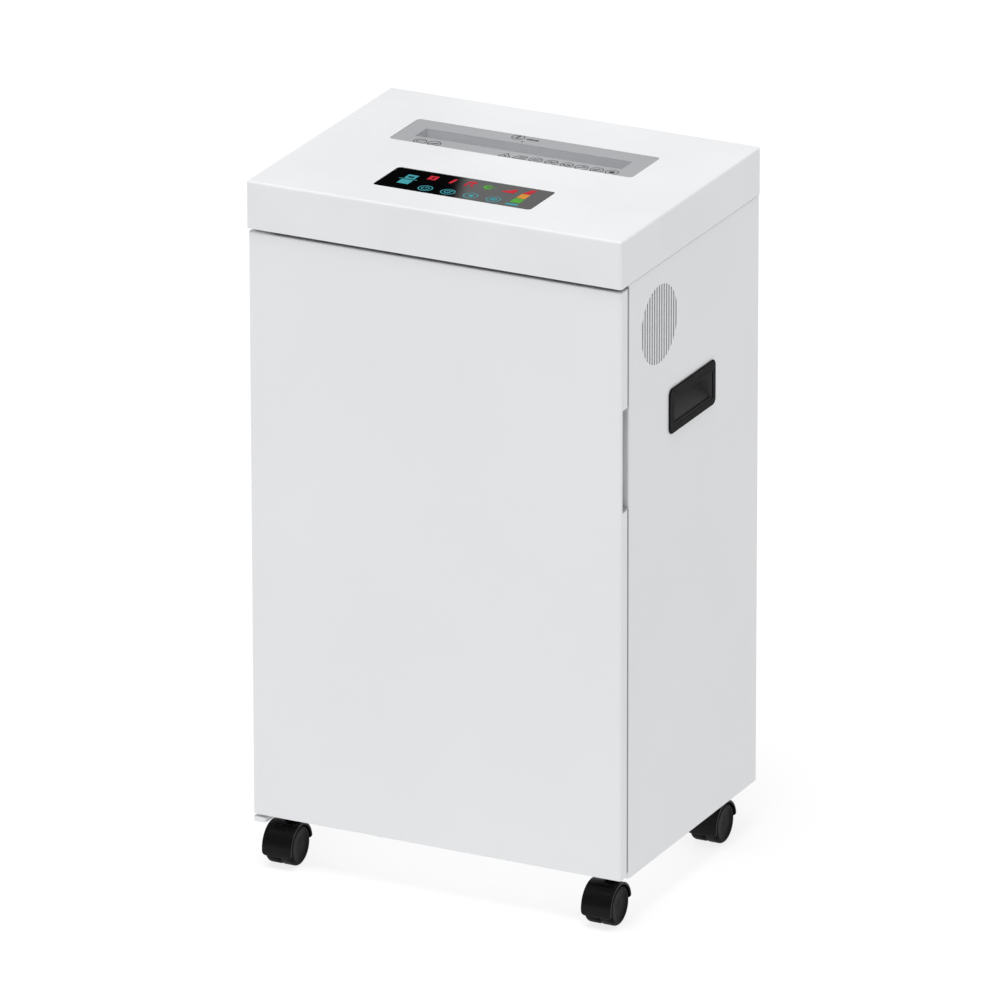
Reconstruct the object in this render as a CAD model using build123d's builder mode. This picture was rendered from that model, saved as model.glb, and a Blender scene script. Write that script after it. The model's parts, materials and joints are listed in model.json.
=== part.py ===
from build123d import *

import math
import os

# Free-standing paper shredder: a sheet-metal cabinet on four casters, with a full-overlay front door,
# a pull-out waste bin, and a cutting head under a moulded top cover.
# Millimetres. +Z is up, +X is to the right, and the door faces -Y.
# The origin is on the floor, under the centre of the cover.

os.makedirs("parts", exist_ok=True)

# ---- Driving dimensions ---------------------------------------------------------------------------

# Overall
WIDTH = 395.0
DEPTH = 303.0
HEIGHT = 700.0

# Clearances
FIT = 0.2  # between pieces of one body that are fastened together
RUN_GAP = 0.05  # radial, shaft in bore

# Top cover
COVER_HEIGHT = 47.5
COVER_WALL = 2.5
COVER_EDGE = 2.2
COVER_CORNER = 3.0
COVER_GAP = 1.0  # cover rim above the side panels
BOSS_RADIUS = 5.0
BOSS_INSET = 48.0  # from the side of the cover

# Cabinet sheet metal
SHEET = 1.5
FOLD = 2.0  # outer fold radius
SIDE_INSET = 0.75  # side panel behind the side of the cover
BACK_INSET = 1.0
FRONT_INSET = 2.2
FRONT_RETURN = 20.0
BACK_RETURN = 14.0
TOP_FLANGE = 24.0
TRAY_RIM = 14.0
HEAD_SPACE = 106.5  # deck underside to the top of the side panels
DECK_FLANGE = 12.0

# Door
DOOR_THICKNESS = 15.2
DOOR_SEAM = 1.8  # door to the cabinet front
DOOR_LIFT = 2.8  # door bottom above the cabinet bottom
DOOR_TOP_GAP = 3.7
DOOR_SKIN = 2.5
DOOR_WALL = 2.5
DOOR_CORNER = 3.0
DOOR_EDGE = 1.2
LINER = 1.5
PULL_DROP = 119.8  # pull's top below the door's top edge
PULL_HEIGHT = 100.0
PULL_DEPTH = 22.0
PULL_WALL = 1.6
PIVOT_INSET = 6.75  # from the left side of the door
PIVOT_SETBACK = 7.3  # from the front of the door
PIN_RADIUS = 3.0
PIN_GRIP = 14.0  # pin length held in the door
BLOCK = 13.0  # hinge block inside the door
BRACKET_THICK = 4.4
BRACKET_REACH = 46.0

# Throat and bezel
THROAT_SHIFT = -2.75  # centre of bezel and fascia, left of the middle
THROAT_SETBACK = 104.75  # nip line from the rear of the cover
SLOT_LENGTH = 219.0
SLOT_WIDTH = 6.0
POCKET_WIDTH = 23.5
POCKET_STRAIGHT = 12.0
POCKET_DEPTH = 27.0
BEZEL_LENGTH = 257.5
BEZEL_WIDTH = 63.0
BEZEL_SHIFT = 1.75  # bezel centre behind the nip line
BEZEL_CORNER = 4.5
TRIM_GAP = 0.25
TRIM_DROP = 0.3  # trim surface below the cover
TRIM_PLATE = 2.4
TRIM_LIP = 3.0
POCKET_WALL = 1.6
GUIDE_SHEET = 1.2

# Control fascia
FASCIA_LENGTH = 166.0
FASCIA_WIDTH = 55.5
FASCIA_FRONT = 44.0  # from the front of the cover
FASCIA_CORNER = 4.0
BOARD = 1.6

# Side handles and vent
HANDLE_LENGTH = 100.0
HANDLE_HEIGHT = 45.5
HANDLE_CORNER = 6.0
HANDLE_FLANGE = 1.9
HANDLE_TOP_DROP = 181.5  # flange top below the top of the cover
HANDLE_FORWARD = 2.0  # flange centre behind the middle of the cabinet
GRIP_LENGTH = 83.0
GRIP_SHIFT = 1.5
GRIP_LOW = 8.0  # opening's lower lip above the flange's bottom
GRIP_HIGH = 11.5  # opening's upper lip below the flange's top
GRIP_DEPTH = 22.0
GRIP_WALL = 2.0
VENT_RADIUS = 39.0
VENT_SETBACK = 83.5  # vent centre behind the front of the cover
VENT_DROP = 108.5  # vent centre below the top of the cover
VENT_PITCH = 5.14
VENT_SLOT = 2.5
VENT_COUNT = 15

# Cutting head
CUT_WIDTH = 224.0
DISC_CLEARANCE = 2.5  # disc tips to the other shaft's hubs
SHAFT_DROP = 88.0  # cutter shafts below the top of the cover
DISC_RADIUS = 21.0
DISC_THICK = 3.6
DISC_PITCH = 8.0
DISC_NOTCHES = 4
DISC_TWIST = 19.0  # degrees between neighbouring discs
NOTCH_DEEP = 3.0
NOTCH_WIDE = 3.6
NOTCH_RAKE = 30.0  # degrees
HUB_RADIUS = 14.5
HEX_RADIUS = 9.0
JOURNAL_RADIUS = 6.0
BUSH_WALL = 2.0
PLATE = 4.0
PLATE_GAP = 2.0  # end disc to frame plate
PLATE_HEIGHT = 100.0
PLATE_BACK = 58.0  # frame plates behind the nip line
ROD_RADIUS = 4.0
GEAR_GAP = 2.0
GEAR_FACE = 8.0
COMB_FINGER = 3.0
COMB_BAR = 5.0
COMB_GAP = 1.0

# Gear train: tooth counts and modules
FAST_MODULE = 1.5
SLOW_MODULE = 2.0
PINION_TEETH = 17
WHEEL_TEETH = 56
IDLER_TEETH = 17
DRIVE_TEETH = 30
SYNC_TEETH = 19
BACKLASH = 0.3

# Motor and fan
MOTOR_FORWARD = 114.75  # motor axis in front of the nip line
MOTOR_DROP = 20.5  # motor axis below the cutter shafts
MOTOR_RADIUS = 34.0
MOTOR_LENGTH = 110.0
MOTOR_WALL = 8.0
ROTOR_RADIUS = 23.0
ROTOR_GAP = 1.5
MOTOR_SHAFT = 5.0
AXLE_RADIUS = 4.0
FAN_SIZE = 80.0
FAN_THICK = 20.0
FAN_DUCT = 37.5
FAN_HUB = 15.0
FAN_BLADES = 7
FAN_PIN = 2.0
FAN_TIP_GAP = 1.5

# Rear connections
INLET_SIDE = 140.0  # inlet centre from the middle
INLET_DROP = 112.0  # inlet centre below the top of the cover
INLET_WIDTH = 28.0
INLET_HEIGHT = 20.0
INLET_DEPTH = 18.0
SWITCH_SPACING = 34.0
SWITCH_WIDTH = 21.0
SWITCH_HEIGHT = 15.0
CONNECTOR_FLANGE = 1.2
FLANGE_LAP = 3.0
ROCKER_TILT = 7.0
LOUVRE_COUNT = 9
LOUVRE_PITCH = 8.0
LOUVRE_LENGTH = 90.0
LOUVRE_SLOT = 3.0

# Waste bin
BIN_SIDE_GAP = 35.05  # bin side to the tray's side
BIN_FRONT_GAP = 31.1  # bin front behind the inside of the door
BIN_BACK_GAP = 8.0
BIN_TOP_GAP = 14.0  # bin rim below the chute
BIN_WALL = 2.4
BIN_CORNER = 12.0
BIN_LIP = 5.0
BIN_FLOOR_GAP = 0.5
BIN_GRIP_WIDTH = 120.0
BIN_GRIP_REACH = 19.0
BIN_GRIP_BAR = 6.0
BIN_GRIP_TALL = 22.0
BIN_GRIP_DROP = 60.0
GUIDE_HEIGHT = 12.0
GUIDE_THICK = 3.0
GUIDE_GAP = 0.6
CHUTE_DROP = 72.0
CHUTE_WALL = 2.0
CHUTE_FLANGE = 8.0
CHUTE_MARGIN = 6.0

# Casters
WHEEL_RADIUS = 20.0
CASTER_NECK = 11.0  # top of the wheels to the cabinet
CASTER_WIDTH = 30.0
CASTER_SIDE = 26.4  # caster centre from the side of the cover
CASTER_END = 35.4  # stem from the front or rear of the cover
CASTER_TRAIL = 12.1
HOOD_GAP = 1.0  # tread to the inside of the hood
HOOD_THICK = 2.2
HOOD_FRONT_ANGLE = -18.0  # lower front edge, measured up from level
HOOD_BACK_ANGLE = 0.0
HOOD_WEB = 5.0
HUB_WALL = 4.0
CASTER_AXLE = 3.0
STEM_RADIUS = 4.0
STEM_LENGTH = 22.0
SOCKET_WALL = 2.5
SOCKET_FLANGE = 11.0
SOCKET_PLATE = 2.0
WHEEL_GAP = 0.6
TYRE_EDGE = 1.6

# Screws
SCREW_HEAD = 3.2
SCREW_RISE = 0.9
SCREW_SHANK = 1.5
SCREW_LENGTH = 7.0
SCREW_ROWS = 4
SCREW_INSET = 30.0  # first and last screw from the ends of the side panels

# Control board
BOARD_DROP = 9.0
CHIP = (10.0, 10.0, 2.0)
BOARD_MARGIN = (5.0, 4.0)  # board edge inside the fascia's

# Door fittings
UPPER_BRACKET = 2.0
UPPER_MARGIN = 0.5
CATCH = (34.0, 14.0, 11.0)
CATCH_X = 150.0
STRIKE_THICK = 1.0
SENSOR_X = 100.0
MAGNET_RADIUS = 5.0
MAGNET_THICK = 3.0
CATCH_EDGE = 1.5
STRIKE_LAP = 2.0
STRIKE_CORNER = 2.0
SENSOR = (24.0, 10.0, 9.0)
SENSOR_EDGE = 1.0

# Motor and fan details
MOTOR_CLEAR = 3.0
FAN_ARM = 4.0
FAN_CORNER = 5.0
FAN_BLADE = 2.0
MOTOR_EDGE = 2.0
SHAFT_TAIL = 6.0  # motor shaft behind the housing
SHAFT_NOSE = 1.0  # motor shaft past the gears
IDLER_HUB = 10.0
PLATE_CORNER = 6.0
ROD_INSET = 12.0
PRESSURE_ANGLE = 20.0
DEDENDUM = 1.25  # of the module

# Power board
BOARD_INSET = 35.0  # board centre from the left panel
BOARD_SIZE = (52.0, 130.0)
STANDOFF = 6.0
CAPACITOR_RADIUS = 15.0
CAPACITOR_LENGTH = 55.0
CAPACITOR_PLACE = (-90.0, -72.0)
CAPACITOR_EDGE = 1.5
STANDOFF_RADIUS = 2.5
STANDOFF_INSET = 5.0
RELAY = (32.0, 28.0, 24.0)
RELAY_SPOTS = ((0.0, -40.0, 0.0), (0.0, 0.0, 0.0))
FILTER = (8.0, 20.0)  # radius and height
FILTER_SPOTS = ((-12.0, 42.0, 0.0), (12.0, 42.0, 0.0))

# Infrared eyes
EYE = (8.0, 6.0, 8.0)
EYE_DROP = 4.0  # below the pocket floor
EYE_FORWARD = 20.0  # bin eyes in front of the chute

# Mains inlet and switch
INLET_WALL = 2.0
BLADE = (4.0, 2.0)
BLADE_LENGTH = 8.0
SWITCH_DEPTH = 14.0
SWITCH_WALL = 1.5
ROCKER_GAP = 0.6
ROCKER_DEPTH = 8.0
CONNECTOR_CORNER = 2.0
INLET_CHAMFER = 4.0
BLADE_SPREAD = 7.0  # line and neutral from the centre
BLADE_STEP = 2.0  # earth above and the others below the centre
ROCKER_RECESS = 0.2
ROCKER_PIVOT = 3.0  # pivot behind the face
ROCKER_DISH = 1.1
ROCKER_TAPER = 0.9
ROCKER_CHEEK = 5.0

# Handle and bin details
BOSS_MARGIN = 5.0  # handle flange past the hand boss, over both ends
GRIP_LIP = 2.0
GRIP_LIP_DROP = 1.0
GRIP_RISE = 5.0  # top of the ramp below the opening's top
BIN_GRIP_CORNER = 5.0

# Caster details
TYRE_BAND = 0.1  # reach of the search for the tyre's outer edges

# ---- Places worked out from the dimensions --------------------------------------------------------

side_x = WIDTH / 2 - SIDE_INSET
back_y = DEPTH / 2 - BACK_INSET
door_front = -DEPTH / 2 + FRONT_INSET
door_back = door_front + DOOR_THICKNESS
front_y = door_back + DOOR_SEAM
base_z = 2 * WHEEL_RADIUS + CASTER_NECK  # underside of the cabinet
cover_z = HEIGHT - COVER_HEIGHT
panel_top = cover_z - COVER_GAP
door_bottom = base_z + DOOR_LIFT
door_top = cover_z - DOOR_TOP_GAP
door_height = door_top - door_bottom
inner_x = side_x - SHEET - FIT
inner_front = front_y + SHEET + FIT
panel_back = back_y - SHEET - FIT
inner_back = panel_back - SHEET - FIT
deck_z = panel_top - HEAD_SPACE
deck_top = deck_z + SHEET

nip_y = DEPTH / 2 - THROAT_SETBACK
shaft_spacing = DISC_RADIUS + HUB_RADIUS + DISC_CLEARANCE
shaft_z = HEIGHT - SHAFT_DROP
front_shaft_y = nip_y - shaft_spacing / 2
rear_shaft_y = nip_y + shaft_spacing / 2
cut_left = THROAT_SHIFT - CUT_WIDTH / 2
cut_right = THROAT_SHIFT + CUT_WIDTH / 2
plate_left = cut_left - PLATE_GAP
plate_right = cut_right + PLATE_GAP
vent_y = -DEPTH / 2 + VENT_SETBACK
vent_z = HEIGHT - VENT_DROP
plate_z = deck_top + PLATE_HEIGHT / 2

screw_first = base_z + SCREW_INSET
screw_pitch = (panel_top - SCREW_INSET - screw_first) / (SCREW_ROWS - 1)
screw_rows = [screw_first + row * screw_pitch for row in range(SCREW_ROWS)]
screw_x = side_x - BACK_RETURN / 2


def save(builder, name):
    """Label a finished piece and write its STEP file."""
    builder.part.label = name
    export_step(builder.part, f"parts/{name}.step")


def gear_outline(teeth, module, tooth_angle):
    """Points of an involute spur gear's outline, with one tooth centred on tooth_angle in degrees."""
    pressure = math.radians(PRESSURE_ANGLE)
    pitch_r = module * teeth / 2
    base_r = pitch_r * math.cos(pressure)
    root_r = pitch_r - DEDENDUM * module
    tip_r = pitch_r + module
    start_r = max(base_r, root_r)
    half_pitch = math.pi / (2 * teeth) - BACKLASH / (2 * pitch_r)
    flank = [(root_r, start_r)] if root_r < base_r else []
    flank += [(r, r) for r in (start_r + (tip_r - start_r) * step / 4 for step in range(5))]
    points = []
    for tooth in range(teeth):
        centre = math.radians(tooth_angle) + 2 * math.pi * tooth / teeth
        rising = []
        for radius, touch in flank:
            roll = math.acos(min(1.0, base_r / touch))
            half = half_pitch + (math.tan(pressure) - pressure) - (math.tan(roll) - roll)
            rising.append((radius, half))
        points += [(r * math.cos(centre - a), r * math.sin(centre - a)) for r, a in rising]
        points += [(r * math.cos(centre + a), r * math.sin(centre + a)) for r, a in reversed(rising)]
    return points


def mesh_angle(direction, teeth_a, angle_a, teeth_b):
    """Tooth angle of gear b that puts it in mesh with gear a, which lies the other way along direction."""
    pitch_a = 360 / teeth_a
    pitch_b = 360 / teeth_b
    lead = ((direction - angle_a) / pitch_a) % 1
    return direction + 180 - pitch_b * (0.5 - lead)


# ---- Cabinet: side panels -------------------------------------------------------------------------

handle_top = HEIGHT - HANDLE_TOP_DROP
handle_z = handle_top - HANDLE_HEIGHT / 2
boss_height = HANDLE_HEIGHT - BOSS_MARGIN
boss_length = GRIP_LENGTH + 2 * GRIP_WALL
grip_y = HANDLE_FORWARD + GRIP_SHIFT

for side in ("left", "right"):
    with BuildPart() as side_panel:
        with BuildSketch(Plane.XY.offset(base_z)):
            with BuildLine():
                FilletPolyline(
                    (side_x - FRONT_RETURN, front_y + SHEET / 2),
                    (side_x - SHEET / 2, front_y + SHEET / 2),
                    (side_x - SHEET / 2, back_y - SHEET / 2),
                    (side_x - BACK_RETURN, back_y - SHEET / 2),
                    radius=FOLD - SHEET / 2,
                )
            trace(line_width=SHEET)
        extrude(amount=panel_top - base_z)
        with BuildSketch(Plane.YZ.offset(side_x)):
            with Locations((grip_y, handle_z)):
                Rectangle(boss_length + 2 * FIT, boss_height + 2 * FIT)
        extrude(amount=-2 * SHEET, mode=Mode.SUBTRACT)
        with BuildSketch(Plane.XZ.offset(-back_y)):
            with Locations(*[(screw_x, z) for z in screw_rows]):
                Circle(SCREW_SHANK + FIT)
        extrude(amount=2 * SHEET, mode=Mode.SUBTRACT)
        if side == "right":
            with BuildSketch(Plane.YZ.offset(side_x)):
                with Locations((vent_y, vent_z)):
                    with GridLocations(VENT_PITCH, 1, VENT_COUNT, 1):
                        Rectangle(VENT_SLOT, 2 * VENT_RADIUS)
                    Circle(VENT_RADIUS, mode=Mode.INTERSECT)
            extrude(amount=-2 * SHEET, mode=Mode.SUBTRACT)
        else:
            mirror(about=Plane.YZ, mode=Mode.REPLACE)
    save(side_panel, f"{side}_side_panel")

# ---- Cabinet: recessed side handles ---------------------------------------------------------------

handle_face = side_x + HANDLE_FLANGE
grip_bottom = handle_z - HANDLE_HEIGHT / 2 + GRIP_LOW
grip_top = handle_z + HANDLE_HEIGHT / 2 - GRIP_HIGH
grip_floor = handle_face - GRIP_DEPTH
boss_top = handle_z + boss_height / 2

for side in ("left", "right"):
    with BuildPart() as side_handle:
        with BuildSketch(Plane.YZ.offset(side_x)):
            with Locations((HANDLE_FORWARD, handle_z)):
                RectangleRounded(HANDLE_LENGTH, HANDLE_HEIGHT, HANDLE_CORNER)
        extrude(amount=HANDLE_FLANGE)
        fillet(side_handle.faces().sort_by(Axis.X)[-1].edges(), HANDLE_FLANGE * 0.6)
        with BuildSketch(Plane.YZ.offset(side_x)):
            with Locations((grip_y, handle_z)):
                Rectangle(boss_length, boss_height)
        extrude(amount=-(GRIP_DEPTH - HANDLE_FLANGE + GRIP_WALL))
        # The hand space: a ramp rises inwards from the lower lip,
        # and the fingers hook up behind the upper lip.
        with BuildSketch(Plane.XZ.offset(-(grip_y - GRIP_LENGTH / 2))):
            with BuildLine():
                Polyline(
                    (handle_face + 1, grip_top),
                    (handle_face + 1, grip_bottom),
                    (handle_face - GRIP_LIP, grip_bottom - GRIP_LIP_DROP),
                    (grip_floor, grip_top - GRIP_RISE),
                    (grip_floor, boss_top - GRIP_WALL),
                    (side_x - SHEET, boss_top - GRIP_WALL),
                    (side_x - SHEET, grip_top),
                    close=True,
                )
            make_face()
        extrude(amount=-GRIP_LENGTH, mode=Mode.SUBTRACT)
        if side == "left":
            mirror(about=Plane.YZ, mode=Mode.REPLACE)
    save(side_handle, f"{side}_side_handle")

# ---- Cabinet: back panel, base tray, deck and front plate -----------------------------------------

inlet_z = HEIGHT - INLET_DROP
switch_x = INLET_SIDE - SWITCH_SPACING
louvre_z = inlet_z

with BuildPart() as back_panel:
    with BuildSketch(Plane.YZ.offset(-inner_x)):
        with BuildLine():
            FilletPolyline(
                (panel_back - SHEET / 2, base_z),
                (panel_back - SHEET / 2, panel_top - SHEET / 2),
                (panel_back - TOP_FLANGE, panel_top - SHEET / 2),
                radius=FOLD - SHEET / 2,
            )
        trace(line_width=SHEET)
    extrude(amount=2 * inner_x)
    with BuildSketch(Plane.XZ.offset(-panel_back)):
        with Locations((INLET_SIDE, inlet_z)):
            Rectangle(INLET_WIDTH + 2 * FIT, INLET_HEIGHT + 2 * FIT)
        with Locations((switch_x, inlet_z)):
            Rectangle(SWITCH_WIDTH + 2 * FIT, SWITCH_HEIGHT + 2 * FIT)
        with Locations((-INLET_SIDE / 2, louvre_z)):
            with GridLocations(1, LOUVRE_PITCH, 1, LOUVRE_COUNT):
                SlotOverall(LOUVRE_LENGTH, LOUVRE_SLOT)
        with Locations(*[(x, z) for x in (-screw_x, screw_x) for z in screw_rows]):
            Circle(SCREW_SHANK + FIT)
    extrude(amount=2 * SHEET, mode=Mode.SUBTRACT)
save(back_panel, "back_panel")

caster_x = WIDTH / 2 - CASTER_SIDE
caster_y = DEPTH / 2 - CASTER_END
caster_spots = [(x, y) for x in (-caster_x, caster_x) for y in (-caster_y, caster_y)]
socket_radius = STEM_RADIUS + RUN_GAP + SOCKET_WALL

with BuildPart() as base_tray:
    with BuildSketch(Plane.XY.offset(base_z)):
        Rectangle(2 * inner_x, inner_back - inner_front, align=(Align.CENTER, Align.MIN))
    extrude(amount=TRAY_RIM)
    with BuildSketch(Plane.XY.offset(base_z + SHEET)):
        Rectangle(2 * (inner_x - SHEET), inner_back - inner_front - SHEET, align=(Align.CENTER, Align.MIN))
    extrude(amount=TRAY_RIM, mode=Mode.SUBTRACT)
    base_tray.part = Pos(0, inner_front, 0) * base_tray.part
    with BuildSketch(Plane.XY.offset(base_z)):
        with Locations(*caster_spots):
            Circle(socket_radius + FIT)
    extrude(amount=SHEET, mode=Mode.SUBTRACT)
save(base_tray, "base_tray")

chute_length = CUT_WIDTH + 2 * CHUTE_MARGIN
chute_width = shaft_spacing + 2 * DISC_RADIUS + 2 * CHUTE_MARGIN

with BuildPart() as head_deck:
    with BuildSketch(Plane.XZ.offset(-inner_front)):
        with BuildLine():
            FilletPolyline(
                (-inner_x + SHEET / 2, deck_z - DECK_FLANGE),
                (-inner_x + SHEET / 2, deck_z + SHEET / 2),
                (inner_x - SHEET / 2, deck_z + SHEET / 2),
                (inner_x - SHEET / 2, deck_z - DECK_FLANGE),
                radius=FOLD - SHEET / 2,
            )
        trace(line_width=SHEET)
    extrude(amount=-(inner_back - inner_front))
    with BuildSketch(Plane.XY.offset(deck_z)):
        with Locations((THROAT_SHIFT, nip_y)):
            Rectangle(chute_length, chute_width)
    extrude(amount=SHEET, mode=Mode.SUBTRACT)
save(head_deck, "head_deck")

with BuildPart() as head_front_plate:
    with BuildSketch(Plane.YZ.offset(-inner_x)):
        with BuildLine():
            FilletPolyline(
                (inner_front + TOP_FLANGE, deck_top + FIT + SHEET / 2),
                (inner_front + SHEET / 2, deck_top + FIT + SHEET / 2),
                (inner_front + SHEET / 2, panel_top - SHEET / 2),
                (inner_front + TOP_FLANGE, panel_top - SHEET / 2),
                radius=FOLD - SHEET / 2,
            )
        trace(line_width=SHEET)
    extrude(amount=2 * inner_x)
save(head_front_plate, "head_front_plate")

# ---- Top cover ------------------------------------------------------------------------------------

bezel_y = nip_y + BEZEL_SHIFT
fascia_y = -DEPTH / 2 + FASCIA_FRONT + FASCIA_WIDTH / 2
trim_z = HEIGHT - TRIM_DROP
cover_inside = HEIGHT - COVER_WALL
boss_x = WIDTH / 2 - BOSS_INSET
boss_front = inner_front + TOP_FLANGE / 2 + SHEET
boss_back = panel_back - TOP_FLANGE / 2 - SHEET

with BuildPart() as top_cover:
    with BuildSketch(Plane.XY.offset(cover_z)):
        RectangleRounded(WIDTH, DEPTH, COVER_CORNER)
    extrude(amount=COVER_HEIGHT)
    fillet(top_cover.faces().sort_by(Axis.Z)[-1].edges(), COVER_EDGE)
    with BuildSketch(Plane.XY.offset(cover_z)):
        Rectangle(WIDTH - 2 * COVER_WALL, DEPTH - 2 * COVER_WALL)
    extrude(amount=COVER_HEIGHT - COVER_WALL, mode=Mode.SUBTRACT)
    with BuildSketch(Plane.XY.offset(cover_inside)):
        with Locations((THROAT_SHIFT, bezel_y)):
            RectangleRounded(BEZEL_LENGTH + 2 * TRIM_GAP, BEZEL_WIDTH + 2 * TRIM_GAP, BEZEL_CORNER)
        with Locations((THROAT_SHIFT, fascia_y)):
            RectangleRounded(FASCIA_LENGTH + 2 * TRIM_GAP, FASCIA_WIDTH + 2 * TRIM_GAP, FASCIA_CORNER)
    extrude(amount=COVER_WALL, mode=Mode.SUBTRACT)
    with BuildSketch(Plane.XY.offset(panel_top)):
        with Locations(*[(x, y) for x in (-boss_x, boss_x) for y in (boss_front, boss_back)]):
            Circle(BOSS_RADIUS)
    extrude(amount=cover_inside - panel_top)
save(top_cover, "top_cover")

# ---- Throat bezel and steel paper guides ----------------------------------------------------------

pocket_floor = trim_z - POCKET_DEPTH
straight_z = trim_z - POCKET_STRAIGHT
outer_pocket = POCKET_WIDTH + 2 * POCKET_WALL
outer_slot = SLOT_WIDTH + 2 * POCKET_WALL

with BuildPart() as throat_bezel:
    with BuildSketch(Plane.XY.offset(trim_z - TRIM_PLATE)):
        with Locations((THROAT_SHIFT, bezel_y)):
            RectangleRounded(BEZEL_LENGTH, BEZEL_WIDTH, BEZEL_CORNER)
    extrude(amount=TRIM_PLATE)
    with BuildSketch(Plane.XY.offset(cover_inside - FIT)):
        with Locations((THROAT_SHIFT, bezel_y)):
            RectangleRounded(BEZEL_LENGTH + 2 * TRIM_LIP, BEZEL_WIDTH + 2 * TRIM_LIP, BEZEL_CORNER)
    extrude(amount=-TRIM_PLATE / 2)
    with BuildSketch(Plane.XY.offset(straight_z)):
        with Locations((THROAT_SHIFT, nip_y)):
            Rectangle(SLOT_LENGTH + 2 * POCKET_WALL, outer_pocket)
    extrude(amount=POCKET_STRAIGHT - TRIM_PLATE)
    with BuildSketch(Plane.XY.offset(straight_z)):
        with Locations((THROAT_SHIFT, nip_y)):
            Rectangle(SLOT_LENGTH + 2 * POCKET_WALL, outer_pocket)
    with BuildSketch(Plane.XY.offset(pocket_floor)):
        with Locations((THROAT_SHIFT, nip_y)):
            Rectangle(SLOT_LENGTH + 2 * POCKET_WALL, outer_slot)
    loft()
    with BuildSketch(Plane.XY.offset(straight_z)):
        with Locations((THROAT_SHIFT, nip_y)):
            Rectangle(SLOT_LENGTH, POCKET_WIDTH)
    extrude(amount=POCKET_STRAIGHT, mode=Mode.SUBTRACT)
    with BuildSketch(Plane.XY.offset(straight_z)):
        with Locations((THROAT_SHIFT, nip_y)):
            Rectangle(SLOT_LENGTH, POCKET_WIDTH)
    with BuildSketch(Plane.XY.offset(pocket_floor)):
        with Locations((THROAT_SHIFT, nip_y)):
            Rectangle(SLOT_LENGTH, SLOT_WIDTH)
    loft(mode=Mode.SUBTRACT)
save(throat_bezel, "throat_bezel")

guide_bottom = shaft_z + DISC_RADIUS + COMB_GAP

with BuildPart() as paper_guides:
    with BuildSketch(Plane.XY.offset(guide_bottom)):
        with Locations((THROAT_SHIFT, nip_y)):
            with GridLocations(1, SLOT_WIDTH + GUIDE_SHEET, 1, 2):
                Rectangle(SLOT_LENGTH, GUIDE_SHEET)
    extrude(amount=pocket_floor - FIT - guide_bottom)
save(paper_guides, "paper_guides")

# ---- Control fascia and its board -----------------------------------------------------------------

with BuildPart() as control_fascia:
    with BuildSketch(Plane.XY.offset(trim_z - TRIM_PLATE)):
        with Locations((THROAT_SHIFT, fascia_y)):
            RectangleRounded(FASCIA_LENGTH, FASCIA_WIDTH, FASCIA_CORNER)
    extrude(amount=TRIM_PLATE)
    with BuildSketch(Plane.XY.offset(cover_inside - FIT)):
        with Locations((THROAT_SHIFT, fascia_y)):
            RectangleRounded(FASCIA_LENGTH + 2 * TRIM_LIP, FASCIA_WIDTH + 2 * TRIM_LIP, FASCIA_CORNER)
    extrude(amount=-TRIM_PLATE / 2)
save(control_fascia, "control_fascia")

board_z = cover_inside - BOARD_DROP

with BuildPart() as control_board:
    with BuildSketch(Plane.XY.offset(board_z)):
        with Locations((THROAT_SHIFT, fascia_y)):
            Rectangle(FASCIA_LENGTH - 2 * BOARD_MARGIN[0], FASCIA_WIDTH - 2 * BOARD_MARGIN[1])
    extrude(amount=BOARD)
    with Locations((THROAT_SHIFT, fascia_y, board_z + BOARD)):
        with GridLocations(FASCIA_LENGTH / 5, FASCIA_WIDTH / 3, 4, 2):
            Box(*CHIP, align=(Align.CENTER, Align.CENTER, Align.MIN))
save(control_board, "control_board")

# ---- Door -----------------------------------------------------------------------------------------

pivot_x = -side_x + PIVOT_INSET
pivot_y = door_front + PIVOT_SETBACK
pull_x = side_x - PULL_DEPTH
pull_z = door_top - PULL_DROP - PULL_HEIGHT
cavity_front = door_front + DOOR_SKIN
liner_front = door_back - LINER
cup_bottom = pull_z - PULL_WALL
cup_height = PULL_HEIGHT + 2 * PULL_WALL
block_depth = liner_front - FIT - cavity_front

with BuildPart() as door_shell:
    with BuildSketch(Plane.XY.offset(door_bottom)) as outline:
        with Locations((0, (door_front + door_back) / 2)):
            Rectangle(2 * side_x, DOOR_THICKNESS)
        fillet(outline.vertices(), DOOR_CORNER)
    extrude(amount=door_height)
    fillet(door_shell.faces().filter_by(Axis.Z).edges(), DOOR_EDGE)
    with Locations((0, cavity_front, door_bottom + DOOR_WALL)):
        Box(
            2 * (side_x - DOOR_WALL),
            DOOR_THICKNESS,
            door_height - 2 * DOOR_WALL,
            align=(Align.CENTER, Align.MIN, Align.MIN),
            mode=Mode.SUBTRACT,
        )
    with Locations((pull_x - PULL_WALL, cavity_front, cup_bottom)):
        Box(
            PULL_DEPTH + 2 * PULL_WALL,
            DOOR_THICKNESS,
            cup_height,
            align=(Align.MIN, Align.MIN, Align.MIN),
            mode=Mode.SUBTRACT,
        )
    # Blocks in the hinge corners hold the pivot pins.
    for block_z in (door_bottom + DOOR_WALL, door_top - DOOR_WALL - BLOCK):
        with Locations((-side_x + DOOR_WALL, cavity_front, block_z)):
            Box(BLOCK, block_depth, BLOCK, align=(Align.MIN, Align.MIN, Align.MIN))
    for pin_z in (door_bottom, door_top - PIN_GRIP):
        with Locations((pivot_x, pivot_y, pin_z)):
            Cylinder(
                PIN_RADIUS,
                PIN_GRIP,
                align=(Align.CENTER, Align.CENTER, Align.MIN),
                mode=Mode.SUBTRACT,
            )
save(door_shell, "door_shell")

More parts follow.
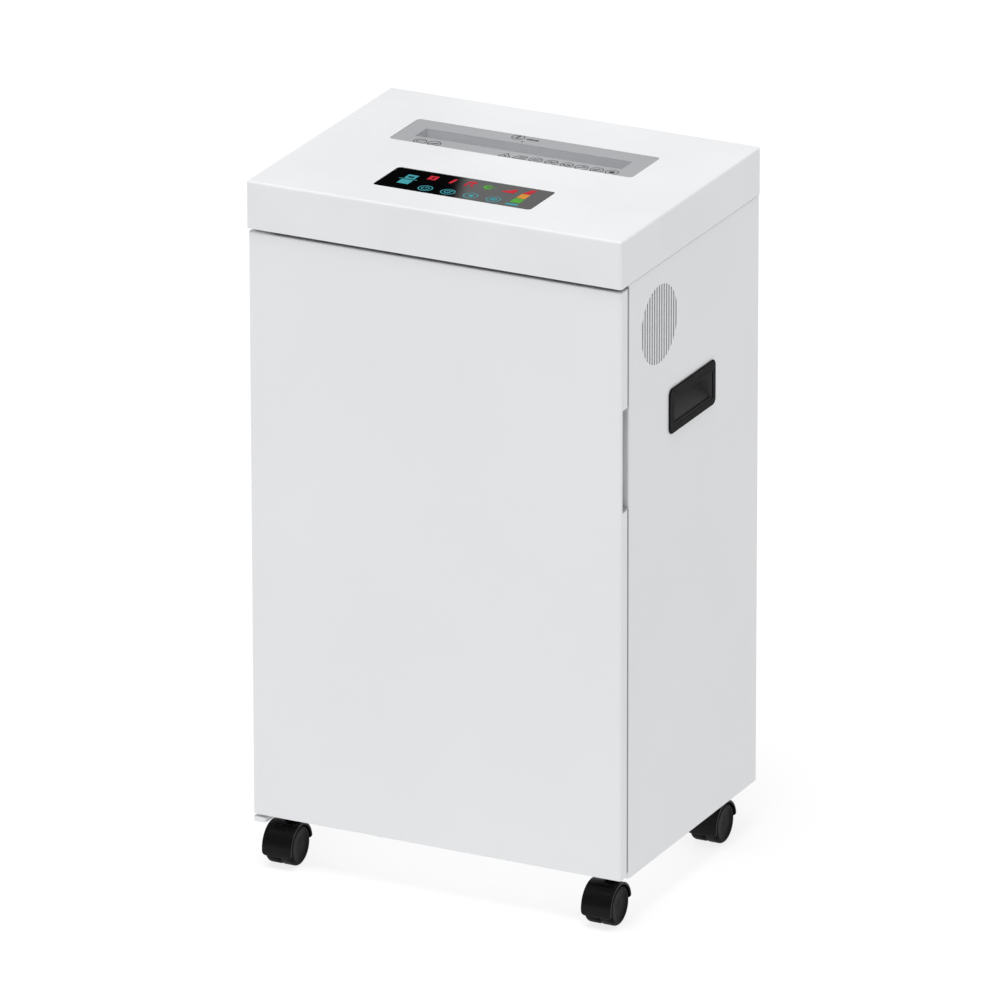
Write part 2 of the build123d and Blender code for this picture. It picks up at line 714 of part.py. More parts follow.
with BuildPart() as door_liner:
    with Locations((0, liner_front, door_bottom + DOOR_WALL + FIT)):
        Box(
            2 * (side_x - DOOR_WALL - FIT),
            LINER,
            door_height - 2 * (DOOR_WALL + FIT),
            align=(Align.CENTER, Align.MIN, Align.MIN),
        )
    with Locations((pull_x - PULL_WALL - FIT, liner_front, cup_bottom - FIT)):
        Box(
            PULL_DEPTH + 2 * PULL_WALL,
            LINER,
            cup_height + 2 * FIT,
            align=(Align.MIN, Align.MIN, Align.MIN),
            mode=Mode.SUBTRACT,
        )
save(door_liner, "door_liner")

with BuildPart() as door_pull_cup:
    with Locations((pull_x - PULL_WALL, cavity_front, cup_bottom)):
        Box(
            PULL_DEPTH + PULL_WALL - TRIM_DROP,
            door_back - cavity_front,
            cup_height,
            align=(Align.MIN, Align.MIN, Align.MIN),
        )
    with Locations((pull_x, cavity_front + PULL_WALL / 2, pull_z)):
        Box(
            PULL_DEPTH,
            DOOR_THICKNESS,
            PULL_HEIGHT,
            align=(Align.MIN, Align.MIN, Align.MIN),
            mode=Mode.SUBTRACT,
        )
save(door_pull_cup, "door_pull_cup")

upper_bracket_z = panel_top
lower_bracket_z = base_z - BRACKET_THICK

with BuildPart() as door_pivot_pins:
    with Locations((pivot_x, pivot_y, lower_bracket_z)):
        Cylinder(
            PIN_RADIUS,
            door_bottom + PIN_GRIP - lower_bracket_z,
            align=(Align.CENTER, Align.CENTER, Align.MIN),
        )
    with Locations((pivot_x, pivot_y, door_top - PIN_GRIP)):
        Cylinder(
            PIN_RADIUS,
            PIN_GRIP + upper_bracket_z + UPPER_BRACKET + 1.0 - door_top,
            align=(Align.CENTER, Align.CENTER, Align.MIN),
        )
save(door_pivot_pins, "door_pivot_pins")

bracket_left = -WIDTH / 2 + COVER_WALL + UPPER_MARGIN
bracket_front = -DEPTH / 2 + COVER_WALL + UPPER_MARGIN

with BuildPart() as hinge_brackets:
    for corner, width, plate_bottom, thick in (
        ((-side_x, door_front), 2 * PIVOT_INSET, lower_bracket_z, BRACKET_THICK),
        ((bracket_left, bracket_front), 3 * PIVOT_INSET, upper_bracket_z, UPPER_BRACKET),
    ):
        with BuildSketch(Plane.XY.offset(plate_bottom)) as bracket_outline:
            with Locations(corner):
                Rectangle(width, BRACKET_REACH, align=(Align.MIN, Align.MIN))
            fillet(bracket_outline.vertices(), DOOR_CORNER)
            with Locations((pivot_x, pivot_y)):
                Circle(PIN_RADIUS + RUN_GAP, mode=Mode.SUBTRACT)
        extrude(amount=thick)
save(hinge_brackets, "hinge_brackets")

# A magnetic catch under the deck meets a steel strike on the liner.
catch_z = deck_z - DECK_FLANGE / 2

with BuildPart() as door_catch:
    with Locations((CATCH_X, front_y - (DOOR_SEAM - STRIKE_THICK) + FIT, deck_z)):
        Box(*CATCH, align=(Align.CENTER, Align.MIN, Align.MAX))
    chamfer(door_catch.edges().filter_by(Axis.Y), CATCH_EDGE)
save(door_catch, "door_catch")

with BuildPart() as door_strike:
    with Locations((CATCH_X, door_back, catch_z)):
        Box(CATCH[0] + 2 * STRIKE_LAP, STRIKE_THICK, CATCH[2], align=(Align.CENTER, Align.MIN, Align.CENTER))
    fillet(door_strike.edges().filter_by(Axis.Y), STRIKE_CORNER)
save(door_strike, "door_strike")

with BuildPart() as door_sensor:
    with Locations((SENSOR_X, inner_front, deck_z)):
        Box(*SENSOR, align=(Align.CENTER, Align.MIN, Align.MAX))
    chamfer(door_sensor.edges().filter_by(Axis.Y), SENSOR_EDGE)
save(door_sensor, "door_sensor")

with BuildPart() as door_magnet:
    with BuildSketch(Plane.XZ.offset(-liner_front)):
        with Locations((SENSOR_X, catch_z)):
            Circle(MAGNET_RADIUS)
    extrude(amount=MAGNET_THICK)
save(door_magnet, "door_magnet")

# ---- Cutting head: frame --------------------------------------------------------------------------

fast_centres = FAST_MODULE * (PINION_TEETH + WHEEL_TEETH) / 2
slow_centres = SLOW_MODULE * (IDLER_TEETH + DRIVE_TEETH) / 2
motor_y = nip_y - MOTOR_FORWARD
motor_z = shaft_z - MOTOR_DROP
span = math.hypot(front_shaft_y - motor_y, shaft_z - motor_z)
along = (fast_centres**2 - slow_centres**2 + span**2) / (2 * span)
above = math.sqrt(fast_centres**2 - along**2)
unit_y = (front_shaft_y - motor_y) / span
unit_z = (shaft_z - motor_z) / span
idler_y = motor_y + along * unit_y - above * unit_z
idler_z = motor_z + along * unit_z + above * unit_y

shaft_spots = [(front_shaft_y, shaft_z), (rear_shaft_y, shaft_z)]
rod_spots = [
    (nip_y - PLATE_BACK + ROD_INSET, plate_z + PLATE_HEIGHT / 2 - ROD_INSET),
    (nip_y + PLATE_BACK - ROD_INSET, plate_z + PLATE_HEIGHT / 2 - ROD_INSET),
    (nip_y, deck_top + ROD_INSET),
]
bush_radius = JOURNAL_RADIUS + RUN_GAP + BUSH_WALL
drive_front = motor_y - MOTOR_RADIUS

with BuildPart() as left_frame_plate:
    with BuildSketch(Plane.YZ.offset(plate_left - PLATE)):
        with Locations((nip_y, plate_z)):
            RectangleRounded(2 * PLATE_BACK, PLATE_HEIGHT, PLATE_CORNER)
        with Locations(*shaft_spots):
            Circle(bush_radius, mode=Mode.SUBTRACT)
        with Locations(*rod_spots):
            Circle(ROD_RADIUS, mode=Mode.SUBTRACT)
    extrude(amount=PLATE)
save(left_frame_plate, "left_frame_plate")

with BuildPart() as right_frame_plate:
    with BuildSketch(Plane.YZ.offset(plate_right)):
        with Locations((nip_y + PLATE_BACK, plate_z)):
            Rectangle(nip_y + PLATE_BACK - drive_front, PLATE_HEIGHT, align=(Align.MAX, Align.CENTER))
        with Locations(*shaft_spots):
            Circle(bush_radius, mode=Mode.SUBTRACT)
        with Locations(*rod_spots):
            Circle(ROD_RADIUS, mode=Mode.SUBTRACT)
        with Locations((motor_y, motor_z)):
            Circle(MOTOR_SHAFT + MOTOR_CLEAR, mode=Mode.SUBTRACT)
        with Locations((idler_y, idler_z)):
            Circle(AXLE_RADIUS, mode=Mode.SUBTRACT)
    extrude(amount=PLATE)
save(right_frame_plate, "right_frame_plate")

idler_x = plate_right + PLATE + GEAR_GAP
wheel_x = idler_x + GEAR_FACE + GEAR_GAP
gear_end = wheel_x + GEAR_FACE

# Three rods tie the plates together, and the idler gear's axle is pressed into the right one.
with BuildPart() as frame_rods:
    with BuildSketch(Plane.YZ.offset(plate_left - PLATE)):
        with Locations(*rod_spots):
            Circle(ROD_RADIUS)
    extrude(amount=plate_right - plate_left + 2 * PLATE)
    with BuildSketch(Plane.YZ.offset(plate_right)):
        with Locations((idler_y, idler_z)):
            Circle(AXLE_RADIUS)
    extrude(amount=gear_end + GEAR_GAP - plate_right)
save(frame_rods, "frame_rods")

with BuildPart() as shaft_bushes:
    for bush_x in (plate_left - PLATE, plate_right):
        with BuildSketch(Plane.YZ.offset(bush_x)):
            with Locations(*shaft_spots):
                Circle(bush_radius)
                Circle(JOURNAL_RADIUS + RUN_GAP, mode=Mode.SUBTRACT)
        extrude(amount=PLATE)
save(shaft_bushes, "shaft_bushes")

# ---- Cutting head: shafts and discs ---------------------------------------------------------------

sync_x = plate_left - PLATE - GEAR_GAP - GEAR_FACE
disc_count = int(CUT_WIDTH // DISC_PITCH)
disc_gap = (DISC_PITCH - 2 * DISC_THICK) / 4

for name, shaft_y, journal_end in (
    ("front_cutter_shaft", front_shaft_y, idler_x + GEAR_FACE),
    ("rear_cutter_shaft", rear_shaft_y, plate_right + PLATE + 1.0),
):
    with BuildPart() as cutter_shaft:
        with BuildSketch(Plane.YZ.offset(cut_left)):
            with Locations((shaft_y, shaft_z)):
                RegularPolygon(HEX_RADIUS, 6)
        extrude(amount=CUT_WIDTH)
        with BuildSketch(Plane.YZ.offset(sync_x)):
            with Locations((shaft_y, shaft_z)):
                Circle(JOURNAL_RADIUS)
        extrude(amount=journal_end - sync_x)
    save(cutter_shaft, name)

for name, shaft_y, first_x in (
    ("front_cutter_discs", front_shaft_y, cut_left + disc_gap),
    ("rear_cutter_discs", rear_shaft_y, cut_left + DISC_PITCH / 2 + disc_gap),
):
    disc_starts = [first_x + disc * DISC_PITCH for disc in range(disc_count)]
    with BuildPart() as cutter_discs:
        for disc, disc_x in enumerate(disc_starts):
            with BuildSketch(Plane.YZ.offset(disc_x)):
                with Locations((shaft_y, shaft_z)):
                    Circle(DISC_RADIUS)
                    with PolarLocations(DISC_RADIUS, DISC_NOTCHES, start_angle=disc * DISC_TWIST):
                        Rectangle(NOTCH_DEEP, NOTCH_WIDE, rotation=NOTCH_RAKE, mode=Mode.SUBTRACT)
                    RegularPolygon(HEX_RADIUS + RUN_GAP, 6, mode=Mode.SUBTRACT)
        extrude(amount=DISC_THICK)
        for disc_x in disc_starts[:-1]:
            with BuildSketch(Plane.YZ.offset(disc_x + DISC_THICK)):
                with Locations((shaft_y, shaft_z)):
                    Circle(HUB_RADIUS)
                    RegularPolygon(HEX_RADIUS + RUN_GAP, 6, mode=Mode.SUBTRACT)
        extrude(amount=DISC_PITCH - DISC_THICK - FIT / 2)
    save(cutter_discs, name)

# Fingers of the stripper combs stand between the discs of one shaft and clear its hubs.
comb_tall = 2 * HUB_RADIUS
comb_length = plate_right - plate_left - 2 * FIT

with BuildPart() as stripper_combs:
    for shaft_y, first_x, way in (
        (front_shaft_y, cut_left + disc_gap, -1),
        (rear_shaft_y, cut_left + DISC_PITCH / 2 + disc_gap, 1),
    ):
        bar_y = shaft_y + way * (DISC_RADIUS + COMB_GAP + COMB_BAR / 2)
        tip_y = shaft_y + way * (HUB_RADIUS + COMB_GAP)
        first_gap = first_x + (DISC_THICK + DISC_PITCH) / 2
        with Locations((THROAT_SHIFT, bar_y, shaft_z)):
            Box(comb_length, COMB_BAR, comb_tall)
        with Locations(*[
            (first_gap + finger * DISC_PITCH, (tip_y + bar_y) / 2, shaft_z)
            for finger in range(disc_count - 1)
        ]):
            Box(COMB_FINGER, abs(bar_y - tip_y), comb_tall)
save(stripper_combs, "stripper_combs")

# ---- Cutting head: gears --------------------------------------------------------------------------

drive_to_idler = math.degrees(math.atan2(idler_z - shaft_z, idler_y - front_shaft_y))
idler_to_motor = math.degrees(math.atan2(motor_z - idler_z, motor_y - idler_y))
idler_angle = mesh_angle(drive_to_idler, DRIVE_TEETH, 0, IDLER_TEETH)
pinion_angle = mesh_angle(idler_to_motor, WHEEL_TEETH, idler_angle, PINION_TEETH)
sync_angle = mesh_angle(0, SYNC_TEETH, 0, SYNC_TEETH)
sync_module = shaft_spacing / SYNC_TEETH

for name, gear_x, gear_y, teeth, module, angle in (
    ("drive_gear", idler_x, front_shaft_y, DRIVE_TEETH, SLOW_MODULE, 0),
    ("front_sync_gear", sync_x, front_shaft_y, SYNC_TEETH, sync_module, 0),
    ("rear_sync_gear", sync_x, rear_shaft_y, SYNC_TEETH, sync_module, sync_angle),
):
    with BuildPart() as shaft_gear:
        with BuildSketch(Plane.YZ.offset(gear_x)):
            with Locations((gear_y, shaft_z)):
                Polygon(*gear_outline(teeth, module, angle), align=None)
                Circle(JOURNAL_RADIUS, mode=Mode.SUBTRACT)
        extrude(amount=GEAR_FACE)
    save(shaft_gear, name)

with BuildPart() as idler_gear:
    with BuildSketch(Plane.YZ.offset(idler_x)):
        with Locations((idler_y, idler_z)):
            Polygon(*gear_outline(IDLER_TEETH, SLOW_MODULE, idler_angle), align=None)
    extrude(amount=GEAR_FACE)
    with BuildSketch(Plane.YZ.offset(idler_x + GEAR_FACE)):
        with Locations((idler_y, idler_z)):
            Circle(IDLER_HUB)
    extrude(amount=GEAR_GAP)
    with BuildSketch(Plane.YZ.offset(wheel_x)):
        with Locations((idler_y, idler_z)):
            Polygon(*gear_outline(WHEEL_TEETH, FAST_MODULE, idler_angle), align=None)
    extrude(amount=GEAR_FACE)
    with BuildSketch(Plane.YZ.offset(idler_x)):
        with Locations((idler_y, idler_z)):
            Circle(AXLE_RADIUS + RUN_GAP)
    extrude(amount=gear_end - idler_x, mode=Mode.SUBTRACT)
save(idler_gear, "idler_gear")

# ---- Motor and fan --------------------------------------------------------------------------------

motor_end = plate_right - FIT
motor_start = motor_end - MOTOR_LENGTH

with BuildPart() as motor_housing:
    with BuildSketch(Plane.YZ.offset(motor_start)):
        with Locations((motor_y, motor_z)):
            Circle(MOTOR_RADIUS)
    extrude(amount=MOTOR_LENGTH)
    chamfer(motor_housing.edges().filter_by(GeomType.CIRCLE), MOTOR_EDGE)
    with BuildSketch(Plane.YZ.offset(motor_start + MOTOR_WALL)):
        with Locations((motor_y, motor_z)):
            Circle(ROTOR_RADIUS + ROTOR_GAP)
    extrude(amount=MOTOR_LENGTH - 2 * MOTOR_WALL, mode=Mode.SUBTRACT)
    with BuildSketch(Plane.YZ.offset(motor_start)):
        with Locations((motor_y, motor_z)):
            Circle(MOTOR_SHAFT + RUN_GAP)
    extrude(amount=MOTOR_LENGTH, mode=Mode.SUBTRACT)
save(motor_housing, "motor_housing")

with BuildPart() as motor_rotor:
    with BuildSketch(Plane.YZ.offset(motor_start - SHAFT_TAIL)):
        with Locations((motor_y, motor_z)):
            Circle(MOTOR_SHAFT)
    extrude(amount=gear_end + SHAFT_NOSE - (motor_start - SHAFT_TAIL))
    with BuildSketch(Plane.YZ.offset(motor_start + 2 * MOTOR_WALL)):
        with Locations((motor_y, motor_z)):
            Circle(ROTOR_RADIUS)
    extrude(amount=MOTOR_LENGTH - 4 * MOTOR_WALL)
save(motor_rotor, "motor_rotor")

with BuildPart() as motor_pinion:
    with BuildSketch(Plane.YZ.offset(wheel_x)):
        with Locations((motor_y, motor_z)):
            Polygon(*gear_outline(PINION_TEETH, FAST_MODULE, pinion_angle), align=None)
            Circle(MOTOR_SHAFT, mode=Mode.SUBTRACT)
    extrude(amount=GEAR_FACE)
save(motor_pinion, "motor_pinion")

fan_x = side_x - SHEET - FIT - FAN_THICK

with BuildPart() as fan_frame:
    with BuildSketch(Plane.YZ.offset(fan_x)):
        with Locations((vent_y, vent_z)):
            RectangleRounded(FAN_SIZE, FAN_SIZE, FAN_CORNER)
            Circle(FAN_DUCT, mode=Mode.SUBTRACT)
    extrude(amount=FAN_THICK)
    with BuildSketch(Plane.YZ.offset(fan_x)):
        with Locations((vent_y, vent_z)):
            Circle(FAN_HUB)
            with PolarLocations(FAN_DUCT / 2, 4, start_angle=45):
                Rectangle(FAN_DUCT + FAN_ARM / 2, FAN_ARM)
            Circle(FAN_PIN + RUN_GAP, mode=Mode.SUBTRACT)
    extrude(amount=FAN_ARM / 2)
save(fan_frame, "fan_frame")

blade_tip = FAN_DUCT - FAN_TIP_GAP - FAN_BLADE

with BuildPart() as fan_rotor:
    with BuildSketch(Plane.YZ.offset(fan_x + FAN_ARM)):
        with Locations((vent_y, vent_z)):
            Circle(FAN_HUB)
            with PolarLocations((FAN_HUB + blade_tip) / 2, FAN_BLADES):
                Rectangle(blade_tip - FAN_HUB + FAN_BLADE, FAN_BLADE)
    extrude(amount=FAN_THICK - 2 * FAN_ARM)
    with BuildSketch(Plane.YZ.offset(fan_x)):
        with Locations((vent_y, vent_z)):
            Circle(FAN_PIN)
    extrude(amount=FAN_ARM)
save(fan_rotor, "fan_rotor")

# ---- Electrics ------------------------------------------------------------------------------------


board_x = BOARD_INSET - inner_x

with BuildPart() as power_board:
    with Locations((board_x, 0, deck_top)):
        with GridLocations(BOARD_SIZE[0] - 2 * STANDOFF_INSET, BOARD_SIZE[1] - 2 * STANDOFF_INSET, 2, 2):
            Cylinder(STANDOFF_RADIUS, STANDOFF, align=(Align.CENTER, Align.CENTER, Align.MIN))
    with Locations((board_x, 0, deck_top + STANDOFF)):
        Box(*BOARD_SIZE, BOARD, align=(Align.CENTER, Align.CENTER, Align.MIN))
    with Locations((board_x, 0, deck_top + STANDOFF + BOARD)):
        with Locations(*RELAY_SPOTS):
            Box(*RELAY, align=(Align.CENTER, Align.CENTER, Align.MIN))
        with Locations(*FILTER_SPOTS):
            Cylinder(*FILTER, align=(Align.CENTER, Align.CENTER, Align.MIN))
save(power_board, "power_board")

with BuildPart() as motor_capacitor:
    with Locations((*CAPACITOR_PLACE, deck_top)):
        Cylinder(CAPACITOR_RADIUS, CAPACITOR_LENGTH, align=(Align.CENTER, Align.CENTER, Align.MIN))
    fillet(motor_capacitor.edges().filter_by(GeomType.CIRCLE), CAPACITOR_EDGE)
save(motor_capacitor, "motor_capacitor")

eye_y = nip_y + SLOT_WIDTH / 2 + GUIDE_SHEET + EYE[1] / 2 + FIT
eye_front = nip_y - SLOT_WIDTH / 2 - GUIDE_SHEET - EYE[1] / 2 - FIT
eye_z = pocket_floor - EYE[2] / 2 - EYE_DROP
bin_eye_y = nip_y - chute_width / 2 - EYE_FORWARD

with BuildPart() as infrared_eyes:
    with Locations((THROAT_SHIFT, eye_y, eye_z), (THROAT_SHIFT, eye_front, eye_z)):
        Box(*EYE)
    with Locations(
        (THROAT_SHIFT - chute_length / 4, bin_eye_y, deck_z - EYE[2] / 2),
        (THROAT_SHIFT + chute_length / 4, bin_eye_y, deck_z - EYE[2] / 2),
    ):
        Box(*EYE)
save(infrared_eyes, "infrared_eyes")

with BuildPart() as power_inlet:
    with BuildSketch(Plane.XZ.offset(-panel_back)):
        with Locations((INLET_SIDE, inlet_z)):
            RectangleRounded(INLET_WIDTH + 2 * FLANGE_LAP, INLET_HEIGHT + 2 * FLANGE_LAP, CONNECTOR_CORNER)
    extrude(amount=-CONNECTOR_FLANGE)
    with BuildSketch(Plane.XZ.offset(-panel_back)):
        with Locations((INLET_SIDE, inlet_z)):
            Rectangle(INLET_WIDTH, INLET_HEIGHT)
    extrude(amount=INLET_DEPTH)
    with BuildSketch(Plane.XZ.offset(-panel_back - CONNECTOR_FLANGE)) as socket_shape:
        with Locations((INLET_SIDE, inlet_z)):
            Rectangle(INLET_WIDTH - 2 * INLET_WALL, INLET_HEIGHT - 2 * INLET_WALL)
        chamfer(socket_shape.vertices().group_by(Axis.Z)[-1], INLET_CHAMFER)
    extrude(amount=INLET_DEPTH + CONNECTOR_FLANGE - INLET_WALL, mode=Mode.SUBTRACT)
    with BuildSketch(Plane.XZ.offset(-panel_back + INLET_DEPTH - INLET_WALL)):
        with Locations(
            (INLET_SIDE - BLADE_SPREAD, inlet_z - BLADE_STEP),
            (INLET_SIDE + BLADE_SPREAD, inlet_z - BLADE_STEP),
            (INLET_SIDE, inlet_z + BLADE_STEP),
        ):
            Rectangle(BLADE[1], BLADE[0])
    extrude(amount=-BLADE_LENGTH)
save(power_inlet, "power_inlet")

rocker_width = SWITCH_WIDTH - 2 * SWITCH_WALL - 2 * ROCKER_GAP
rocker_height = SWITCH_HEIGHT - 2 * SWITCH_WALL - 2 * ROCKER_GAP
rocker_face = panel_back + CONNECTOR_FLANGE - ROCKER_RECESS
pivot_depth = rocker_face - ROCKER_PIVOT

with BuildPart() as switch_housing:
    with BuildSketch(Plane.XZ.offset(-panel_back)):
        with Locations((switch_x, inlet_z)):
            RectangleRounded(SWITCH_WIDTH + 2 * FLANGE_LAP, SWITCH_HEIGHT + 2 * FLANGE_LAP, CONNECTOR_CORNER)
    extrude(amount=-CONNECTOR_FLANGE)
    with BuildSketch(Plane.XZ.offset(-panel_back)):
        with Locations((switch_x, inlet_z)):
            Rectangle(SWITCH_WIDTH, SWITCH_HEIGHT)
    extrude(amount=SWITCH_DEPTH)
    with BuildSketch(Plane.XZ.offset(-panel_back - CONNECTOR_FLANGE)):
        with Locations((switch_x, inlet_z)):
            Rectangle(SWITCH_WIDTH - 2 * SWITCH_WALL, SWITCH_HEIGHT - 2 * SWITCH_WALL)
    extrude(amount=SWITCH_DEPTH + CONNECTOR_FLANGE - SWITCH_WALL, mode=Mode.SUBTRACT)
save(switch_housing, "switch_housing")

with BuildPart() as power_rocker:
    with BuildSketch(Plane.XY.offset(-rocker_height / 2)):
        with BuildLine():
            Polyline(
                (-rocker_width / 2, 0),
                (0, -ROCKER_DISH),
                (rocker_width / 2, 0),
                (rocker_width / 2 - ROCKER_TAPER, -ROCKER_CHEEK),
                (0, -ROCKER_DEPTH),
                (-rocker_width / 2 + ROCKER_TAPER, -ROCKER_CHEEK),
                close=True,
            )
        make_face()
    extrude(amount=rocker_height)
    power_rocker.part = Pos(0, rocker_face - pivot_depth, 0) * power_rocker.part
    power_rocker.part = Rot(0, 0, -ROCKER_TILT) * power_rocker.part
    power_rocker.part = Pos(switch_x, pivot_depth, inlet_z) * power_rocker.part
save(power_rocker, "power_rocker")

# ---- Discharge chute, bin guides and waste bin ----------------------------------------------------

chute_bottom = deck_z - CHUTE_DROP

with BuildPart() as discharge_chute:
    with BuildSketch(Plane.XY.offset(deck_z)):
        with Locations((THROAT_SHIFT, nip_y)):
            Rectangle(chute_length + 2 * CHUTE_FLANGE, chute_width + 2 * CHUTE_FLANGE)
    extrude(amount=-CHUTE_WALL)
    with BuildSketch(Plane.XY.offset(deck_z)):
        with Locations((THROAT_SHIFT, nip_y)):
            Rectangle(chute_length + 2 * CHUTE_WALL, chute_width + 2 * CHUTE_WALL)
    extrude(amount=-CHUTE_DROP)
    with BuildSketch(Plane.XY.offset(deck_z)):
        with Locations((THROAT_SHIFT, nip_y)):
            Rectangle(chute_length, chute_width)
    extrude(amount=-CHUTE_DROP, mode=Mode.SUBTRACT)
save(discharge_chute, "discharge_chute")

bin_front = door_back + BIN_FRONT_GAP
bin_back = inner_back - BIN_BACK_GAP
bin_depth = bin_back - bin_front
bin_y = (bin_front + bin_back) / 2
bin_z = base_z + SHEET + BIN_FLOOR_GAP
bin_top = chute_bottom - BIN_TOP_GAP
bin_height = bin_top - bin_z
bin_width = 2 * (inner_x - BIN_SIDE_GAP)

with BuildPart() as bin_guides:
    with Locations((0, (inner_front + inner_back) / 2, base_z + SHEET)):
        with GridLocations(bin_width + 2 * GUIDE_GAP + GUIDE_THICK, 1, 2, 1):
            Box(
                GUIDE_THICK,
                inner_back - inner_front - 2 * BIN_BACK_GAP,
                GUIDE_HEIGHT,
                align=(Align.CENTER, Align.CENTER, Align.MIN),
            )
save(bin_guides, "bin_guides")

with BuildPart() as waste_bin:
    with BuildSketch(Plane.XY.offset(bin_z)):
        with Locations((0, bin_y)):
            RectangleRounded(bin_width, bin_depth, BIN_CORNER)
    extrude(amount=bin_height)
    with BuildSketch(Plane.XY.offset(bin_top)):
        with Locations((0, bin_y)):
            RectangleRounded(bin_width + 2 * BIN_LIP, bin_depth + 2 * BIN_LIP, BIN_CORNER + BIN_LIP)
    extrude(amount=-BIN_WALL)
    fillet(waste_bin.faces().sort_by(Axis.Z)[0].edges(), BIN_WALL)
    with BuildSketch(Plane.XY.offset(bin_top)):
        with Locations((0, bin_y)):
            RectangleRounded(bin_width - 2 * BIN_WALL, bin_depth - 2 * BIN_WALL, BIN_CORNER - BIN_WALL)
    extrude(amount=-(bin_height - BIN_WALL), mode=Mode.SUBTRACT)
save(waste_bin, "waste_bin")

grip_z = bin_top - BIN_GRIP_DROP

with BuildPart() as bin_handle:
    with Locations((0, bin_front, grip_z)):
        Box(BIN_GRIP_WIDTH, BIN_GRIP_REACH, BIN_GRIP_TALL, align=(Align.CENTER, Align.MAX, Align.CENTER))
    fillet(bin_handle.edges().filter_by(Axis.Z).group_by(Axis.Y)[0], BIN_GRIP_CORNER)
    with Locations((0, bin_front, grip_z)):
        Box(
            BIN_GRIP_WIDTH - 2 * BIN_GRIP_BAR,
            BIN_GRIP_REACH - BIN_GRIP_BAR,
            BIN_GRIP_TALL,
            align=(Align.CENTER, Align.MAX, Align.CENTER),
            mode=Mode.SUBTRACT,
        )
save(bin_handle, "bin_handle")

# ---- Screws that hold the back panel --------------------------------------------------------------

with BuildPart() as panel_screws:
    with BuildSketch(Plane.XZ.offset(-back_y)):
        with Locations(*[(x, z) for x in (-screw_x, screw_x) for z in screw_rows]):
            Circle(SCREW_HEAD)
    extrude(amount=-SCREW_RISE)
    with BuildSketch(Plane.XZ.offset(-back_y)):
        with Locations(*[(x, z) for x in (-screw_x, screw_x) for z in screw_rows]):
            Circle(SCREW_SHANK)
    extrude(amount=SCREW_LENGTH)
save(panel_screws, "panel_screws")

# ---- Casters --------------------------------------------------------------------------------------

socket_z = base_z - SOCKET_PLATE
neck_bottom = 2 * WHEEL_RADIUS + WHEEL_GAP
stem_top = socket_z + STEM_LENGTH
socket_tall = stem_top - base_z
hood_radius = WHEEL_RADIUS + HOOD_GAP + HOOD_THICK
hub_radius = CASTER_AXLE + HUB_WALL

with BuildPart() as caster_sockets:
    with BuildSketch(Plane.XY.offset(socket_z)):
        with Locations(*caster_spots):
            Circle(SOCKET_FLANGE)
    extrude(amount=SOCKET_PLATE)
    with BuildSketch(Plane.XY.offset(base_z)):
        with Locations(*caster_spots):
            Circle(socket_radius)
    extrude(amount=socket_tall)
    with BuildSketch(Plane.XY.offset(socket_z)):
        with Locations(*caster_spots):
            Circle(STEM_RADIUS + RUN_GAP)
    extrude(amount=stem_top - socket_z, mode=Mode.SUBTRACT)
save(caster_sockets, "caster_sockets")

for name, (stem_x, stem_y) in zip(("rear_left", "front_left", "rear_right", "front_right"), (
    (-caster_x, caster_y),
    (-caster_x, -caster_y),
    (caster_x, caster_y),
    (caster_x, -caster_y),
)):
    axle_y = stem_y - CASTER_TRAIL
    with BuildPart() as caster_hood:
        # The hood is a band round the wheels, from below the axle in front to the axle's height behind.
        with BuildSketch(Plane.YZ.offset(stem_x - CASTER_WIDTH / 2)):
            with BuildLine():
                CenterArc((axle_y, WHEEL_RADIUS), hood_radius - HOOD_THICK / 2, HOOD_BACK_ANGLE,
                          180 - HOOD_FRONT_ANGLE - HOOD_BACK_ANGLE)
            trace(line_width=HOOD_THICK)
        extrude(amount=CASTER_WIDTH)
        with BuildSketch(Plane.YZ.offset(stem_x - HOOD_WEB / 2)):
            with Locations((axle_y, WHEEL_RADIUS)):
                Circle(hood_radius - HOOD_THICK / 2)
                Rectangle(
                    2 * hood_radius,
                    hood_radius,
                    align=(Align.CENTER, Align.MAX),
                    mode=Mode.SUBTRACT,
                )
                Circle(hub_radius)
        extrude(amount=HOOD_WEB)
        with BuildSketch(Plane.YZ.offset(stem_x - HOOD_WEB / 2)):
            with Locations((axle_y, WHEEL_RADIUS)):
                Circle(CASTER_AXLE + RUN_GAP)
        extrude(amount=HOOD_WEB, mode=Mode.SUBTRACT)
        with BuildSketch(Plane.XY.offset(neck_bottom)):
            with Locations((stem_x, stem_y)):
                Circle(STEM_RADIUS + HUB_WALL)
        extrude(amount=socket_z - WHEEL_GAP - neck_bottom)
        with BuildSketch(Plane.XY.offset(neck_bottom)):
            with Locations((stem_x, stem_y)):
                Circle(STEM_RADIUS)
        extrude(amount=stem_top - neck_bottom)
    save(caster_hood, f"{name}_caster_hood")
    with BuildPart() as caster_wheels:
        with BuildSketch(Plane.YZ.offset(stem_x - CASTER_WIDTH / 2)):
            with Locations((axle_y, WHEEL_RADIUS)):
                Circle(WHEEL_RADIUS)
        extrude(amount=CASTER_WIDTH)
        with BuildSketch(Plane.YZ.offset(stem_x - HOOD_WEB / 2 - WHEEL_GAP)):
            with Locations((axle_y, WHEEL_RADIUS)):
                Circle(WHEEL_RADIUS)
                Circle(CASTER_AXLE, mode=Mode.SUBTRACT)
        extrude(amount=HOOD_WEB + 2 * WHEEL_GAP, mode=Mode.SUBTRACT)
        outer_edges = caster_wheels.edges().filter_by(GeomType.CIRCLE).filter_by(
            lambda edge: edge.radius > hub_radius
            and abs(abs(edge.center().X - stem_x) - CASTER_WIDTH / 2) < TYRE_BAND
        )
        fillet(outer_edges, TYRE_EDGE)
    save(caster_wheels, f"{name}_caster_wheels")
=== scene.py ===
import json
import math

